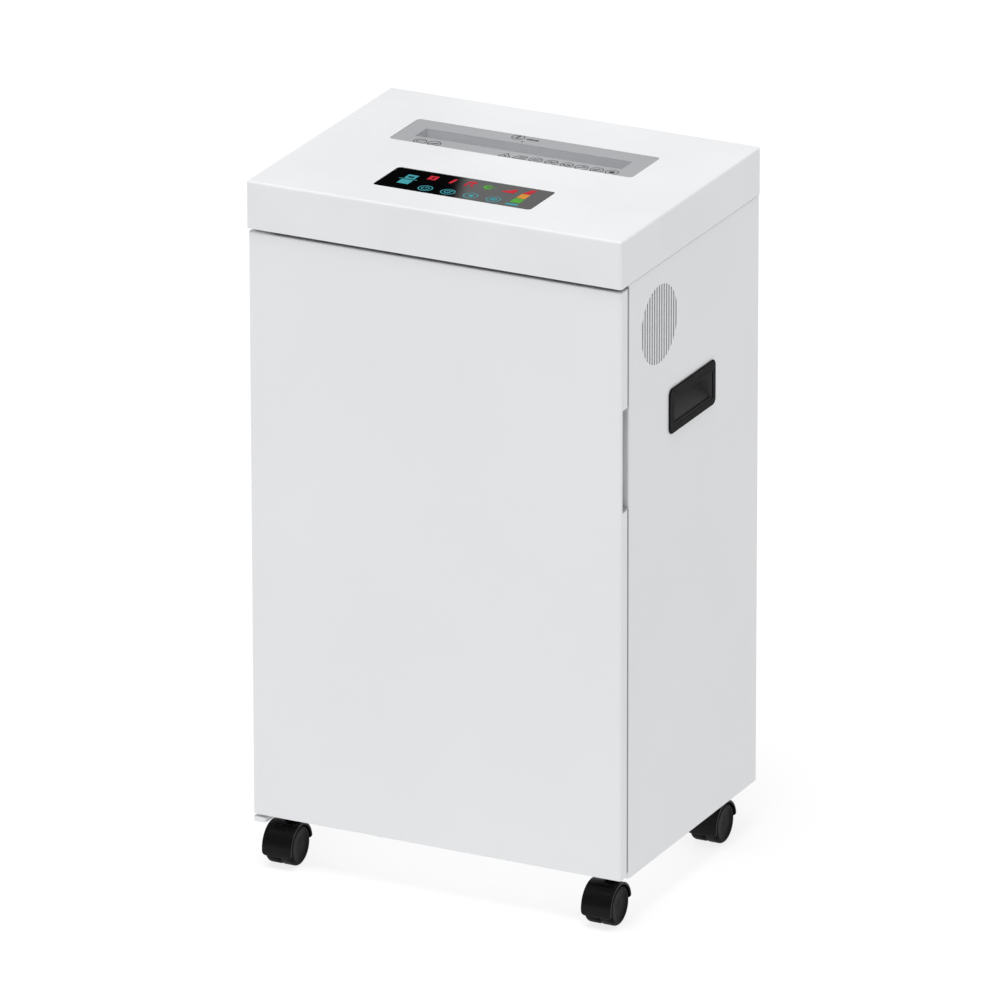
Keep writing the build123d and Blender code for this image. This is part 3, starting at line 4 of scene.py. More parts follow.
import bmesh
import bpy
from mathutils import Matrix, Vector


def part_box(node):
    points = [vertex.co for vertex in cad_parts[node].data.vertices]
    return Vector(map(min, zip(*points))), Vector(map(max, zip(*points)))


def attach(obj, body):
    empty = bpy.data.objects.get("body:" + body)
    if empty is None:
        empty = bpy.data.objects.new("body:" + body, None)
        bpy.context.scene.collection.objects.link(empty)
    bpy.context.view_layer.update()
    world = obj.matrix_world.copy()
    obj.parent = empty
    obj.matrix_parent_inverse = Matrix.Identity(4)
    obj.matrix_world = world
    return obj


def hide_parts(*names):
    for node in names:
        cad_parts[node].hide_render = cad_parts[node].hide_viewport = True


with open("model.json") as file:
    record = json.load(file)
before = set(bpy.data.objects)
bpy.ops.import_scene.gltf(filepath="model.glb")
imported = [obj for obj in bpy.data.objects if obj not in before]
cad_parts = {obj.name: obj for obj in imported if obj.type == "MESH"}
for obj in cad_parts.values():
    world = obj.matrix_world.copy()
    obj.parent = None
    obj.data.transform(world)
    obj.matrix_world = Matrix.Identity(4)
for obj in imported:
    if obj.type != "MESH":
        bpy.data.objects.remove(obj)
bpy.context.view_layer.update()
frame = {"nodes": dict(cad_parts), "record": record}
nodes = frame["nodes"]

# Metres. +Z is up, the door faces -Y, and the origin is on the floor under the middle of the cover.

# ---- Camera and studio ----------------------------------------------------------------------------

CAMERA_AZIMUTH = math.radians(26.51)
CAMERA_ELEVATION = math.radians(20.73)
CAMERA_ROLL = math.radians(-0.10)
CAMERA_DISTANCE = 13.0
CAMERA_TARGET = Vector((-0.0052, 0.0, 0.3578))
CAMERA_LENS = 488.6
CAMERA_SENSOR = 36.0
CAMERA_REACH = 100.0

WORLD_STRENGTH = 0.395
FLOOR_SIZE = 60.0
FLOOR_COLOUR = (0.20, 0.20, 0.20)
FLOOR_GLOW = 0.81
KEY_STRENGTH = 2.22
KEY_SPREAD = math.radians(30.0)
KEY_ELEVATION = math.radians(76.5)
KEY_AZIMUTH = math.radians(2.0)
KEY_DISTANCE = 5.0  # of a sun lamp, so only its direction counts
CARD_SIZE = (0.30, 0.16)
CARD_DISTANCE = 0.60
CARD_GLOW = 0.74
CARD_TILT = math.radians(-18.5)
CARD_SHIFT = 0.0081  # of the glow's edge from the card's middle
CARD_EDGE = 0.006  # half the width over which the glow fades

# ---- Colours --------------------------------------------------------------------------------------

WHITE = (0.858, 0.866, 0.884)
TRIM_GREY = (0.405, 0.410, 0.425)
DARK_PLASTIC = (0.0075, 0.0075, 0.008)
# Grey of the strip in the door seam: painted shade in the gap.
SEAM_SHADE_GREY = (0.34, 0.343, 0.355)
# Paler grey in the handle recess, far above the flange's black: painted light on the ramp.
BASIN_PAINTED_LIGHT_GREY = (0.095, 0.095, 0.100)
# Darker grey on the vent slots' cut walls: painted shade inside the slots.
SLOT_WALL_SHADE_GREY = (0.63, 0.635, 0.65)
# Paler grey in the throat bezel's pocket: painted light that brightens the deep pocket.
POCKET_PAINTED_LIGHT_GREY = (0.67, 0.68, 0.70)
FASCIA_BLACK = (0.0022, 0.0022, 0.0026)
WHEEL_BLACK = (0.0065, 0.0065, 0.007)
CASTER_BLACK = (0.0022, 0.0022, 0.0024)
BIN_GREY = (0.060, 0.062, 0.066)
STEEL = (0.560, 0.560, 0.555)
CUTTER_STEEL = (0.330, 0.325, 0.320)
BRONZE = (0.480, 0.300, 0.140)
NYLON = (0.760, 0.740, 0.680)
MOTOR_PAINT = (0.045, 0.050, 0.060)
BOARD_GREEN = (0.018, 0.110, 0.050)
TEAL = (0.040, 0.270, 0.310)
RED = (0.480, 0.010, 0.024)
GREEN = (0.070, 0.330, 0.030)
ORANGE = (0.620, 0.260, 0.030)
INK_BLACK = (0.020, 0.020, 0.023)
INK_PALE = (0.80, 0.80, 0.80)
COPPER_PAD = (0.60, 0.58, 0.50)


# ---- Materials ------------------------------------------------------------------------------------


def new_material(name):
    """An empty node material, with its tree and its Principled shader."""
    material = bpy.data.materials.new(name)
    material.use_nodes = True
    tree = material.node_tree
    tree.nodes.clear()
    output = tree.nodes.new("ShaderNodeOutputMaterial")
    shader = tree.nodes.new("ShaderNodeBsdfPrincipled")
    tree.links.new(shader.outputs["BSDF"], output.inputs["Surface"])
    return material, tree, shader


def noise(tree, scale, detail=3.0, stretch=(1.0, 1.0, 1.0)):
    """Noise in the object's own coordinates, in cycles per metre, drawn out along any axis."""
    coordinates = tree.nodes.new("ShaderNodeTexCoord")
    mapping = tree.nodes.new("ShaderNodeMapping")
    mapping.inputs["Scale"].default_value = stretch
    texture = tree.nodes.new("ShaderNodeTexNoise")
    texture.inputs["Scale"].default_value = scale
    texture.inputs["Detail"].default_value = detail
    tree.links.new(coordinates.outputs["Object"], mapping.inputs["Vector"])
    tree.links.new(mapping.outputs["Vector"], texture.inputs["Vector"])
    return texture.outputs["Fac"]


def spread(tree, value, low, high, start=0.3, end=0.7):
    """Map a 0 to 1 value onto low to high."""
    ranger = tree.nodes.new("ShaderNodeMapRange")
    ranger.inputs["From Min"].default_value = start
    ranger.inputs["From Max"].default_value = end
    ranger.inputs["To Min"].default_value = low
    ranger.inputs["To Max"].default_value = high
    tree.links.new(value, ranger.inputs["Value"])
    return ranger.outputs["Result"]


def tint(tree, value, colour, change):
    """A colour that varies by a share of itself, up and down, with a 0 to 1 value."""
    ramp = tree.nodes.new("ShaderNodeValToRGB")
    ramp.color_ramp.elements[0].position = 0.3
    ramp.color_ramp.elements[1].position = 0.7
    ramp.color_ramp.elements[0].color = (*[c * (1 - change) for c in colour], 1.0)
    ramp.color_ramp.elements[1].color = (*[min(1.0, c * (1 + change)) for c in colour], 1.0)
    tree.links.new(value, ramp.inputs["Fac"])
    return ramp.outputs["Color"]


def bump(tree, shader, height, strength, distance):
    """Raise a height value onto the shader's normal."""
    node = tree.nodes.new("ShaderNodeBump")
    node.inputs["Strength"].default_value = strength
    node.inputs["Distance"].default_value = distance
    tree.links.new(height, node.inputs["Height"])
    tree.links.new(node.outputs["Normal"], shader.inputs["Normal"])


def powder_coat(name, colour, roughness=0.42):
    """Oven-baked powder paint on sheet metal: a faint orange peel over even colour."""
    material, tree, shader = new_material(name)
    tree.links.new(tint(tree, noise(tree, 5.0), colour, 0.012), shader.inputs["Base Color"])
    rough = spread(tree, noise(tree, 160.0), roughness - 0.05, roughness + 0.05)
    tree.links.new(rough, shader.inputs["Roughness"])
    bump(tree, shader, noise(tree, 620.0, 2.0), 0.10, 0.0004)
    return material


def moulded(name, colour, roughness=0.5, grain=1500.0, depth=0.16, gloss=0.5):
    """Injection-moulded plastic with a fine spark-eroded grain."""
    material, tree, shader = new_material(name)
    shader.inputs["Specular IOR Level"].default_value = gloss
    tree.links.new(tint(tree, noise(tree, 12.0), colour, 0.02), shader.inputs["Base Color"])
    rough = spread(tree, noise(tree, 240.0), roughness - 0.06, roughness + 0.06)
    tree.links.new(rough, shader.inputs["Roughness"])
    bump(tree, shader, noise(tree, grain, 4.0), depth, 0.0003)
    return material


def brushed_metal(name, colour, along, roughness=0.34, change=0.16):
    """Bare metal with brush or rolling marks drawn out along one axis."""
    material, tree, shader = new_material(name)
    stretch = [1.0, 1.0, 1.0]
    stretch[along] = 0.03
    marks = noise(tree, 900.0, 4.0, stretch)
    tree.links.new(tint(tree, marks, colour, change), shader.inputs["Base Color"])
    tree.links.new(spread(tree, marks, roughness - 0.08, roughness + 0.12), shader.inputs["Roughness"])
    shader.inputs["Metallic"].default_value = 1.0
    bump(tree, shader, marks, 0.12, 0.0002)
    return material


def below(tree, height, soft=0.0003):
    """1 under a height in the row frame and 0 over it."""
    coordinates = tree.nodes.new("ShaderNodeTexCoord")
    parts = tree.nodes.new("ShaderNodeSeparateXYZ")
    tree.links.new(coordinates.outputs["Object"], parts.inputs["Vector"])
    return spread(tree, parts.outputs["Z"], 1.0, 0.0, height - soft, height)


def painted_light_pocket(name, colour, lower, height, roughness):
    """Moulded plastic painted paler under a height: painted light that brightens a deep pocket."""
    material, tree, shader = new_material(name)
    mix = tree.nodes.new("ShaderNodeMix")
    mix.data_type = "RGBA"
    tree.links.new(below(tree, height), mix.inputs["Factor"])
    tree.links.new(tint(tree, noise(tree, 12.0), colour, 0.02), mix.inputs["A"])
    tree.links.new(tint(tree, noise(tree, 14.0), lower, 0.02), mix.inputs["B"])
    tree.links.new(mix.outputs["Result"], shader.inputs["Base Color"])
    rough = spread(tree, noise(tree, 240.0), roughness - 0.06, roughness + 0.06)
    tree.links.new(rough, shader.inputs["Roughness"])
    shader.inputs["Specular IOR Level"].default_value = 0.35
    bump(tree, shader, noise(tree, 1400.0, 4.0), 0.14, 0.0003)
    return material


def circuit_board(name):
    """Green solder mask with paler copper tracks under it and small pads."""
    material, tree, shader = new_material(name)
    coordinates = tree.nodes.new("ShaderNodeTexCoord")
    tracks = tree.nodes.new("ShaderNodeTexVoronoi")
    tracks.distance = "CHEBYCHEV"
    tracks.feature = "F1"
    tracks.inputs["Scale"].default_value = 160.0
    tree.links.new(coordinates.outputs["Object"], tracks.inputs["Vector"])
    ramp = tree.nodes.new("ShaderNodeValToRGB")
    ramp.color_ramp.interpolation = "CONSTANT"
    ramp.color_ramp.elements[0].color = (*COPPER_PAD, 1.0)
    ramp.color_ramp.elements[1].position = 0.13
    ramp.color_ramp.elements[1].color = (*BOARD_GREEN, 1.0)
    track = ramp.color_ramp.elements.new(0.42)
    track.color = (*[c * 1.7 for c in BOARD_GREEN], 1.0)
    tree.links.new(tracks.outputs["Distance"], ramp.inputs["Fac"])
    tree.links.new(ramp.outputs["Color"], shader.inputs["Base Color"])
    tree.links.new(spread(tree, noise(tree, 90.0), 0.28, 0.42), shader.inputs["Roughness"])
    return material


def glossy_panel(name, colour):
    """Polished black acrylic: near mirror, with the faintest moulding ripple."""
    material, tree, shader = new_material(name)
    tree.links.new(tint(tree, noise(tree, 40.0), colour, 0.10), shader.inputs["Base Color"])
    tree.links.new(spread(tree, noise(tree, 60.0), 0.05, 0.08), shader.inputs["Roughness"])
    bump(tree, shader, noise(tree, 30.0, 1.0), 0.02, 0.0003)
    return material


def printed(name, colour, glow=0.0):
    """Ink or a lit mark on the panels."""
    material, tree, shader = new_material(name)
    shade = tint(tree, noise(tree, 500.0), colour, 0.08)
    tree.links.new(shade, shader.inputs["Base Color"])
    tree.links.new(spread(tree, noise(tree, 800.0), 0.45, 0.6), shader.inputs["Roughness"])
    shader.inputs["Specular IOR Level"].default_value = 0.15
    if glow:
        tree.links.new(shade, shader.inputs["Emission Color"])
        shader.inputs["Emission Strength"].default_value = glow
    return material


POCKET_DROP = 0.0001  # how far under the bezel's top the pocket's painted light starts

MATERIALS = {
    "cover": moulded("cover", WHITE, 0.40, 1300.0, 0.10),
    "cabinet": powder_coat("cabinet", WHITE),
    "trim_grey": moulded("trim_grey", TRIM_GREY, 0.48),
    "fascia": glossy_panel("fascia", FASCIA_BLACK),
    "black_plastic": moulded("black_plastic", DARK_PLASTIC, 0.50, 1500.0, 0.14, 0.04),
    "wheel_black": moulded("wheel_black", WHEEL_BLACK, 0.45, 900.0, 0.05, 0.04),
    "caster_black": moulded("caster_black", CASTER_BLACK, 0.30, 900.0, 0.02, 0.14),
    # The handle recess is painted paler than its flange: painted light.
    "basin": moulded("basin", BASIN_PAINTED_LIGHT_GREY, 0.5, 1500.0, 0.12, 0.2),
    # Dark strips in the cover seam and the door seam: painted shade in the gaps.
    "dark_seam_shade": moulded("dark_seam_shade", DARK_PLASTIC, 0.7, 1200.0, 0.2, 0.05),
    "seam_shade": moulded("seam_shade", SEAM_SHADE_GREY, 0.7, 1200.0, 0.2, 0.2),
    # Painted shade on the vent slots' cut walls.
    "slot_wall_shade": moulded("slot_wall_shade", SLOT_WALL_SHADE_GREY, 0.6, 700.0, 0.15, 0.2),
    "steel": brushed_metal("steel", STEEL, 0),
    "cutter_steel": brushed_metal("cutter_steel", CUTTER_STEEL, 2, 0.30),
    "bronze": brushed_metal("bronze", BRONZE, 0, 0.38),
    "gear_plastic": moulded("gear_plastic", NYLON, 0.38, 1100.0, 0.08),
    "motor_paint": powder_coat("motor_paint", MOTOR_PAINT, 0.40),
    "board": circuit_board("board"),
    "bin_plastic": moulded("bin_plastic", BIN_GREY, 0.46, 1000.0, 0.14),
}


def paint(thing, material):
    """Give a whole object one material."""
    thing.data.materials.clear()
    thing.data.materials.append(material)


slot_of = {part["node"]: part["material_slot"] for part in frame["record"]["subparts"]}
for node, thing in nodes.items():
    paint(thing, MATERIALS[slot_of[node]])

bezel_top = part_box("throat_bezel")[1].z
# The bezel's pocket is painted paler under its top: painted light.
MATERIALS["bezel"] = painted_light_pocket("bezel", TRIM_GREY, POCKET_PAINTED_LIGHT_GREY, bezel_top - POCKET_DROP, 0.48)
paint(nodes["throat_bezel"], MATERIALS["bezel"])

INK_DARK = printed("ink_dark", INK_BLACK)
INK_WHITE = printed("ink_white", INK_PALE)
LIGHT_TEAL = printed("light_teal", TEAL, 0.20)
LIGHT_RED = printed("light_red", RED, 0.12)
LIGHT_GREEN = printed("light_green", GREEN, 0.08)
LIGHT_ORANGE = printed("light_orange", ORANGE, 0.02)

# ---- Making pieces --------------------------------------------------------------------------------

CURVE_STEPS = 48
INK = 0.00008  # height of printed marks over their face
INK_ROOT = 0.0002  # how far they reach under it


def add_mesh(name, bm, body, material, smooth=True):
    """Turn a bmesh in the row frame into a piece that rides on a body."""
    mesh = bpy.data.meshes.new(name)
    bmesh.ops.recalc_face_normals(bm, faces=bm.faces)
    bm.to_mesh(mesh)
    bm.free()
    for face in mesh.polygons:
        face.use_smooth = smooth
    piece = bpy.data.objects.new(name, mesh)
    bpy.context.scene.collection.objects.link(piece)
    paint(piece, material)
    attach(piece, body)
    return piece


def soften(piece, width, segments=3, angle=math.radians(38.0)):
    """Round a piece's sharp edges and keep its flats flat."""
    bevel = piece.modifiers.new("bevel", "BEVEL")
    bevel.width = width
    bevel.segments = segments
    bevel.limit_method = "ANGLE"
    bevel.angle_limit = angle
    bevel.harden_normals = True
    return piece


def arc(centre, radius, start, end, steps=CURVE_STEPS):
    """Points along an arc, with angles in degrees."""
    angles = [math.radians(start + (end - start) * step / steps) for step in range(steps + 1)]
    return [(centre[0] + radius * math.cos(a), centre[1] + radius * math.sin(a)) for a in angles]


def prism(bm, outline, place, depth):
    """Extrude a flat outline by depth. The place matrix takes (x, y, 0) of the outline to the row frame."""
    lower = [bm.verts.new(place @ Vector((x, y, 0.0))) for x, y in outline]
    upper = [bm.verts.new(place @ Vector((x, y, depth))) for x, y in outline]
    bm.faces.new(lower[::-1])
    bm.faces.new(upper)
    for i in range(len(outline)):
        j = (i + 1) % len(outline)
        bm.faces.new((lower[i], lower[j], upper[j], upper[i]))


def strip(bm, outer, inner, place, depth, closed=True):
    """Extrude the band between two outlines with the same number of points."""
    rows = []
    for x_y_lists, z in ((outer, 0.0), (outer, depth), (inner, depth), (inner, 0.0)):
        rows.append([bm.verts.new(place @ Vector((x, y, z))) for x, y in x_y_lists])
    count = len(outer)
    for i in range(count if closed else count - 1):
        j = (i + 1) % count
        for row in range(4):
            a = rows[row]
            b = rows[(row + 1) % 4]
            bm.faces.new((a[i], a[j], b[j], b[i]))
    if not closed:
        bm.faces.new([row[0] for row in rows])
        bm.faces.new([row[-1] for row in rows][::-1])


def lathe(bm, profile, place, steps=CURVE_STEPS):
    """Turn a profile of (radius, height) points round the place matrix's Z axis."""
    rings = []
    for radius, height in profile:
        if radius == 0.0:
            rings.append([bm.verts.new(place @ Vector((0.0, 0.0, height)))])
            continue
        circle = []
        for step in range(steps):
            turn = 2 * math.pi * step / steps
            point = Vector((radius * math.cos(turn), radius * math.sin(turn), height))
            circle.append(bm.verts.new(place @ point))
        rings.append(circle)
    for low, high in zip(rings, rings[1:]):
        for i in range(steps):
            j = (i + 1) % steps
            corners = [low[i % len(low)], low[j % len(low)], high[j % len(high)], high[i % len(high)]]
            bm.faces.new(list(dict.fromkeys(corners)))


def block(bm, low, high):
    """A plain box between two corners, to be bevelled."""
    outline = [(low[0], low[1]), (high[0], low[1]), (high[0], high[1]), (low[0], high[1])]
    prism(bm, outline, Matrix.Translation((0.0, 0.0, low[2])), high[2] - low[2])


def side_place(x, y, z, facing=1.0):
    """A place whose Z axis points right, or left, and whose X axis points back."""
    turn = Matrix(((0.0, 0.0, facing), (facing, 0.0, 0.0), (0.0, 1.0, 0.0))).to_4x4()
    return Matrix.Translation((x, y, z)) @ turn


# ---- Glyphs ---------------------------------------------------------------------------------------

RING = 0.0067
RING_LINE = 0.0008
FRONT_ROW = 0.0090  # from the bezel's front edge to its row of ring glyphs
REAR_ROW = 0.0087  # from the bezel's rear edge to the feed glyph
FRONT_MARKS = {
    "clip": -0.0982, "card": -0.0832, "wedge": -0.0072, "sheet": 0.0078, "bars": 0.0245,
    "wave": 0.0412, "dots": 0.0574, "hook": 0.0731, "cross": 0.0892, "star": 0.1050,
}
KEY_RADIUS = 0.0074
KEY_LINE = 0.0011
KEY_ROW = 0.0153  # from the fascia's middle forwards to its row of keys
KEY_OFFSETS = (-0.0332, -0.0095, 0.0146, 0.0385)
LIGHT_ROW = 0.0135  # from the fascia's middle backwards to its row of lights
GAUGE_OFFSET = 0.0605
GAUGE_TALL = 0.0122


def ring(bm, place, radius, line, centre=(0.0, 0.0), start=0.0, end=360.0):
    """A ring or an arc of a ring."""
    outer = arc(centre, radius, start, end)
    inner = arc(centre, radius - line, start, end)
    whole = end - start >= 360.0
    if whole:
        outer.pop()
        inner.pop()
    strip(bm, outer, inner, place, INK + INK_ROOT, closed=whole)


def stroke(bm, place, start, end, width):
    """A straight line of ink."""
    along = Vector((end[0] - start[0], end[1] - start[1])).normalized() * width / 2
    side = Vector((-along.y, along.x))
    a = Vector(start)
    b = Vector(end)
    outline = [a - side, b - side, b + side, a + side]
    prism(bm, [(p.x, p.y) for p in outline], place, INK + INK_ROOT)


def patch(bm, place, outline):
    """A filled patch of ink."""
    prism(bm, outline, place, INK + INK_ROOT)


def on_top(x, y, z):
    """The place of a glyph on an upward face, rooted just under it."""
    return Matrix.Translation((x, y, z - INK_ROOT))


def rectangle(x, y, width, height):
    """A rectangle's outline round a centre."""
    return [(x - width / 2, y - height / 2), (x + width / 2, y - height / 2),
            (x + width / 2, y + height / 2), (x - width / 2, y + height / 2)]


def closed_line(bm, place, corners):
    """Thin strokes round a closed figure."""
    for start, end in zip(corners, corners[1:] + corners[:1]):
        stroke(bm, place, start, end, RING_LINE)


def sheet_mark(bm, place):
    """A slanted sheet with three lines of writing."""
    corners = [(-0.0062, -0.0042), (0.0062, -0.0042), (0.0062, 0.0042), (-0.0020, 0.0042)]
    closed_line(bm, place, corners)
    for step in range(3):
        y = -0.0022 + 0.0022 * step
        stroke(bm, place, (-0.0010, y), (0.0044, y), RING_LINE * 0.8)


def wedge_mark(bm, place):
    """A triangle with a dot."""
    closed_line(bm, place, [(-0.0062, -0.0044), (0.0062, -0.0044), (0.0, 0.0056)])
    ring(bm, place, 0.0014, RING_LINE, (0.0, -0.0014))


def ring_mark(bm, place, mark):
    """A ring with one of the plain signs inside it."""
    ring(bm, place, RING, RING_LINE)
    if mark == "clip":
        ring(bm, place, 0.0034, RING_LINE, (-0.0006, 0.0), 90.0, 270.0)
        stroke(bm, place, (-0.0006, 0.0031), (0.0036, 0.0031), RING_LINE)
        stroke(bm, place, (-0.0006, -0.0031), (0.0024, -0.0031), RING_LINE)
    elif mark == "card":
        stroke(bm, place, (-0.0040, -0.0036), (0.0040, 0.0036), RING_LINE * 1.4)
        stroke(bm, place, (-0.0010, -0.0040), (0.0036, 0.0004), RING_LINE)
    elif mark == "bars":
        for x in (-0.0024, 0.0, 0.0024):
            stroke(bm, place, (x - 0.0012, -0.0034), (x + 0.0012, 0.0034), RING_LINE)
    elif mark == "wave":
        ring(bm, place, 0.0022, RING_LINE, (-0.0014, 0.0006), 0.0, 200.0)
        ring(bm, place, 0.0022, RING_LINE, (0.0016, -0.0002), 180.0, 380.0)
        stroke(bm, place, (-0.0044, -0.0038), (0.0044, 0.0038), RING_LINE)
    elif mark == "dots":
        stroke(bm, place, (0.0, -0.0042), (0.0, 0.0042), RING_LINE)
        for x in (-0.0028, 0.0028):
            ring(bm, place, 0.0014, RING_LINE * 1.6, (x, 0.0))
        stroke(bm, place, (-0.0030, -0.0034), (0.0030, -0.0034), RING_LINE)
    elif mark == "hook":
        stroke(bm, place, (-0.0034, -0.0030), (0.0014, 0.0040), RING_LINE * 1.3)
        ring(bm, place, 0.0022, RING_LINE, (0.0014, 0.0016), -120.0, 90.0)
    elif mark == "cross":
        stroke(bm, place, (-0.0036, 0.0010), (0.0036, 0.0010), RING_LINE)
        stroke(bm, place, (0.0008, -0.0038), (0.0008, 0.0038), RING_LINE)
        ring(bm, place, 0.0018, RING_LINE, (-0.0022, -0.0020))
    elif mark == "star":
        for step in range(3):
            turn = math.radians(60.0 * step + 15.0)
            tip = Vector((math.cos(turn), math.sin(turn))) * 0.0040
            stroke(bm, place, -tip, tip, RING_LINE)
        ring(bm, place, 0.0024, RING_LINE)
    elif mark == "feed":
        stroke(bm, place, (0.0, -0.0044), (0.0, 0.0044), RING_LINE * 1.4)
        stroke(bm, place, (-0.0026, 0.0012), (0.0, 0.0044), RING_LINE)
        stroke(bm, place, (0.0026, 0.0012), (0.0, 0.0044), RING_LINE)
        stroke(bm, place, (-0.0034, -0.0022), (0.0034, -0.0022), RING_LINE)


def stack_mark(bm, place):
    """A flat box with a thick upper side."""
    stroke(bm, place, (-0.0058, 0.0012), (0.0058, 0.0012), RING_LINE * 2)
    stroke(bm, place, (-0.0058, -0.0014), (0.0058, -0.0014), RING_LINE)
    for x in (-0.0058, 0.0058):
        stroke(bm, place, (x, -0.0014), (x, 0.0012), RING_LINE)


def bezel_glyphs():
    """Generic glyphs along the throat bezel's front flange, and a feed mark on its rear flange."""
    low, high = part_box("throat_bezel")
    middle = (low + high) / 2
    bm = bmesh.new()
    for mark, offset in FRONT_MARKS.items():
        place = on_top(middle.x + offset, low.y + FRONT_ROW, high.z)
        if mark == "sheet":
            sheet_mark(bm, place)
        elif mark == "wedge":
            wedge_mark(bm, place)
        else:
            ring_mark(bm, place, mark)
    rear_y = high.y - REAR_ROW
    ring_mark(bm, on_top(middle.x - 0.0193, rear_y, high.z), "feed")
    stack_mark(bm, on_top(middle.x - 0.0032, rear_y - 0.0016, high.z))
    place = on_top(middle.x - 0.0102, rear_y - 0.0098, high.z)
    patch(bm, place, [(-0.0014, -0.0010), (0.0014, -0.0010), (0.0, 0.0016)])
    add_mesh("bezel_glyphs", bm, "cabinet", INK_DARK, smooth=False)


def key_marks(bm, x, y, z):
    """The document at the left end of the fascia and the four touch keys."""
    place = on_top(x - 0.0592, y, z)
    patch(bm, place, rectangle(0.0, -0.0070, 0.0120, 0.0115))
    patch(bm, place, rectangle(0.0, 0.0108, 0.0110, 0.0042))
    for side in (-0.0043, 0.0043):
        patch(bm, place, rectangle(side, 0.0055, 0.0024, 0.0066))
    patch(bm, place, rectangle(0.0, 0.0036, 0.0062, 0.0028))
    patch(bm, place, rectangle(-0.0005, 0.0007, 0.0190, 0.0010))
    patch(bm, on_top(x + 0.0602, y - 0.0204, z), rectangle(0.0, 0.0, 0.0130, 0.0042))
    power, reverse, forward, mode = [on_top(x + offset, y - KEY_ROW, z) for offset in KEY_OFFSETS]
    for place in (power, reverse, forward, mode):
        ring(bm, place, KEY_RADIUS, KEY_LINE)
    ring(bm, power, 0.0041, KEY_LINE, start=120.0, end=420.0)
    stroke(bm, power, (0.0, 0.0004), (0.0, 0.0050), KEY_LINE)
    ring(bm, reverse, 0.0040, 0.0012, start=60.0, end=300.0)
    patch(bm, reverse, [(0.0012, 0.0048), (0.0048, 0.0030), (0.0010, 0.0012)])
    patch(bm, reverse, rectangle(0.0016, -0.0012, 0.0042, 0.0016))
    patch(bm, forward, [(0.0026, -0.0040), (0.0026, 0.0040), (-0.0036, 0.0)])
    patch(bm, mode, rectangle(0.0, 0.0, 0.0056, 0.0056))
    stroke(bm, mode, (-0.0046, 0.0), (0.0046, 0.0), 0.0010)


def red_marks(bm, x, y, z):
    """The row of red lights, and the top of the gauge."""
    place = on_top(x - 0.0392, y + LIGHT_ROW, z)
    patch(bm, place, rectangle(-0.0026, 0.0, 0.0038, 0.0108))
    patch(bm, place, rectangle(0.0028, 0.0, 0.0032, 0.0108))
    for rise in (0.0042, -0.0042):
        patch(bm, place, rectangle(0.0002, rise, 0.0022, 0.0024))
    place = on_top(x - 0.0182, y + LIGHT_ROW, z)
    patch(bm, place, [(-0.0020, -0.0064), (0.0006, -0.0064), (0.0020, 0.0008), (0.0020, 0.0064),
                      (-0.0006, 0.0064), (-0.0020, 0.0)])
    place = on_top(x + 0.0003, y + LIGHT_ROW, z)
    patch(bm, place, arc((0.0, 0.0024), 0.0054, 0.0, 180.0, 16))
    patch(bm, place, rectangle(-0.0034, -0.0032, 0.0026, 0.0080))
    patch(bm, place, rectangle(0.0016, -0.0016, 0.0022, 0.0048))
    patch(bm, place, rectangle(0.0040, -0.0052, 0.0020, 0.0030))
    place = on_top(x + 0.0423, y + LIGHT_ROW - 0.0010, z)
    patch(bm, place, [(-0.0062, -0.0052), (0.0062, -0.0052), (0.0062, 0.0056), (0.0022, 0.0056),
                      (-0.0006, 0.0012), (-0.0062, -0.0018)])
    place = on_top(x + GAUGE_OFFSET, y + 0.0172, z)
    patch(bm, place, [(-0.0046, -0.0062), (0.0030, -0.0062), (0.0054, 0.0062), (0.0, 0.0062)])


def green_marks(bm, x, y, z):
    """The green ready light, and the bottom of the gauge."""
    place = on_top(x + 0.0198, y + LIGHT_ROW - 0.0006, z)
    ring(bm, place, 0.0054, 0.0034, start=70.0, end=330.0)
    stroke(bm, place, (0.0010, 0.0010), (0.0074, 0.0010), KEY_LINE)
    patch(bm, on_top(x + GAUGE_OFFSET, y - 0.0090, z), rectangle(0.0, 0.0, 0.0104, GAUGE_TALL))


def orange_marks(bm, x, y, z):
    """The middle of the gauge."""
    patch(bm, on_top(x + GAUGE_OFFSET, y + 0.0042, z), rectangle(0.0, 0.0, 0.0092, GAUGE_TALL))


def fascia_glyphs():
    """Indicator lights and touch keys on the control fascia, one piece for each colour."""
    low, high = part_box("control_fascia")
    middle = (low + high) / 2
    for name, marks, material in (
        ("fascia_keys", key_marks, LIGHT_TEAL),
        ("fascia_red_lights", red_marks, LIGHT_RED),
        ("fascia_green_lights", green_marks, LIGHT_GREEN),
        ("fascia_orange_light", orange_marks, LIGHT_ORANGE),
    ):
        bm = bmesh.new()
        marks(bm, middle.x, middle.y, high.z)
        add_mesh(name, bm, "cabinet", material, smooth=False)


bezel_glyphs()
fascia_glyphs()

# ---- Painted shade: strips in the seams and on the vent slot walls --------------------------------

SHADE_STRIP_GAP = 0.00015  # between a seam's shade strip and the sheet on either side
SHADE_STRIP_RECESS = 0.0006  # from the cabinet's skin in to the shade strip
DOOR_SHADE_STRIP_DEPTH = 0.0050
DOOR_SHADE_STRIP_FOOT = 0.0040  # from the door's lower edge up to its shade strip
COVER_SHADE_STRIP_DEPTH = 0.0012
SHADE_STRIP_END = 0.0020  # from an edge to a shade strip's end
SLOT_MARGIN = 0.0040  # a slot's wall is at most this far past the fan frame, and this deep in the skin
SLOT_WALL_LEAN = 0.3  # most that the wall's normal turns towards the skin's


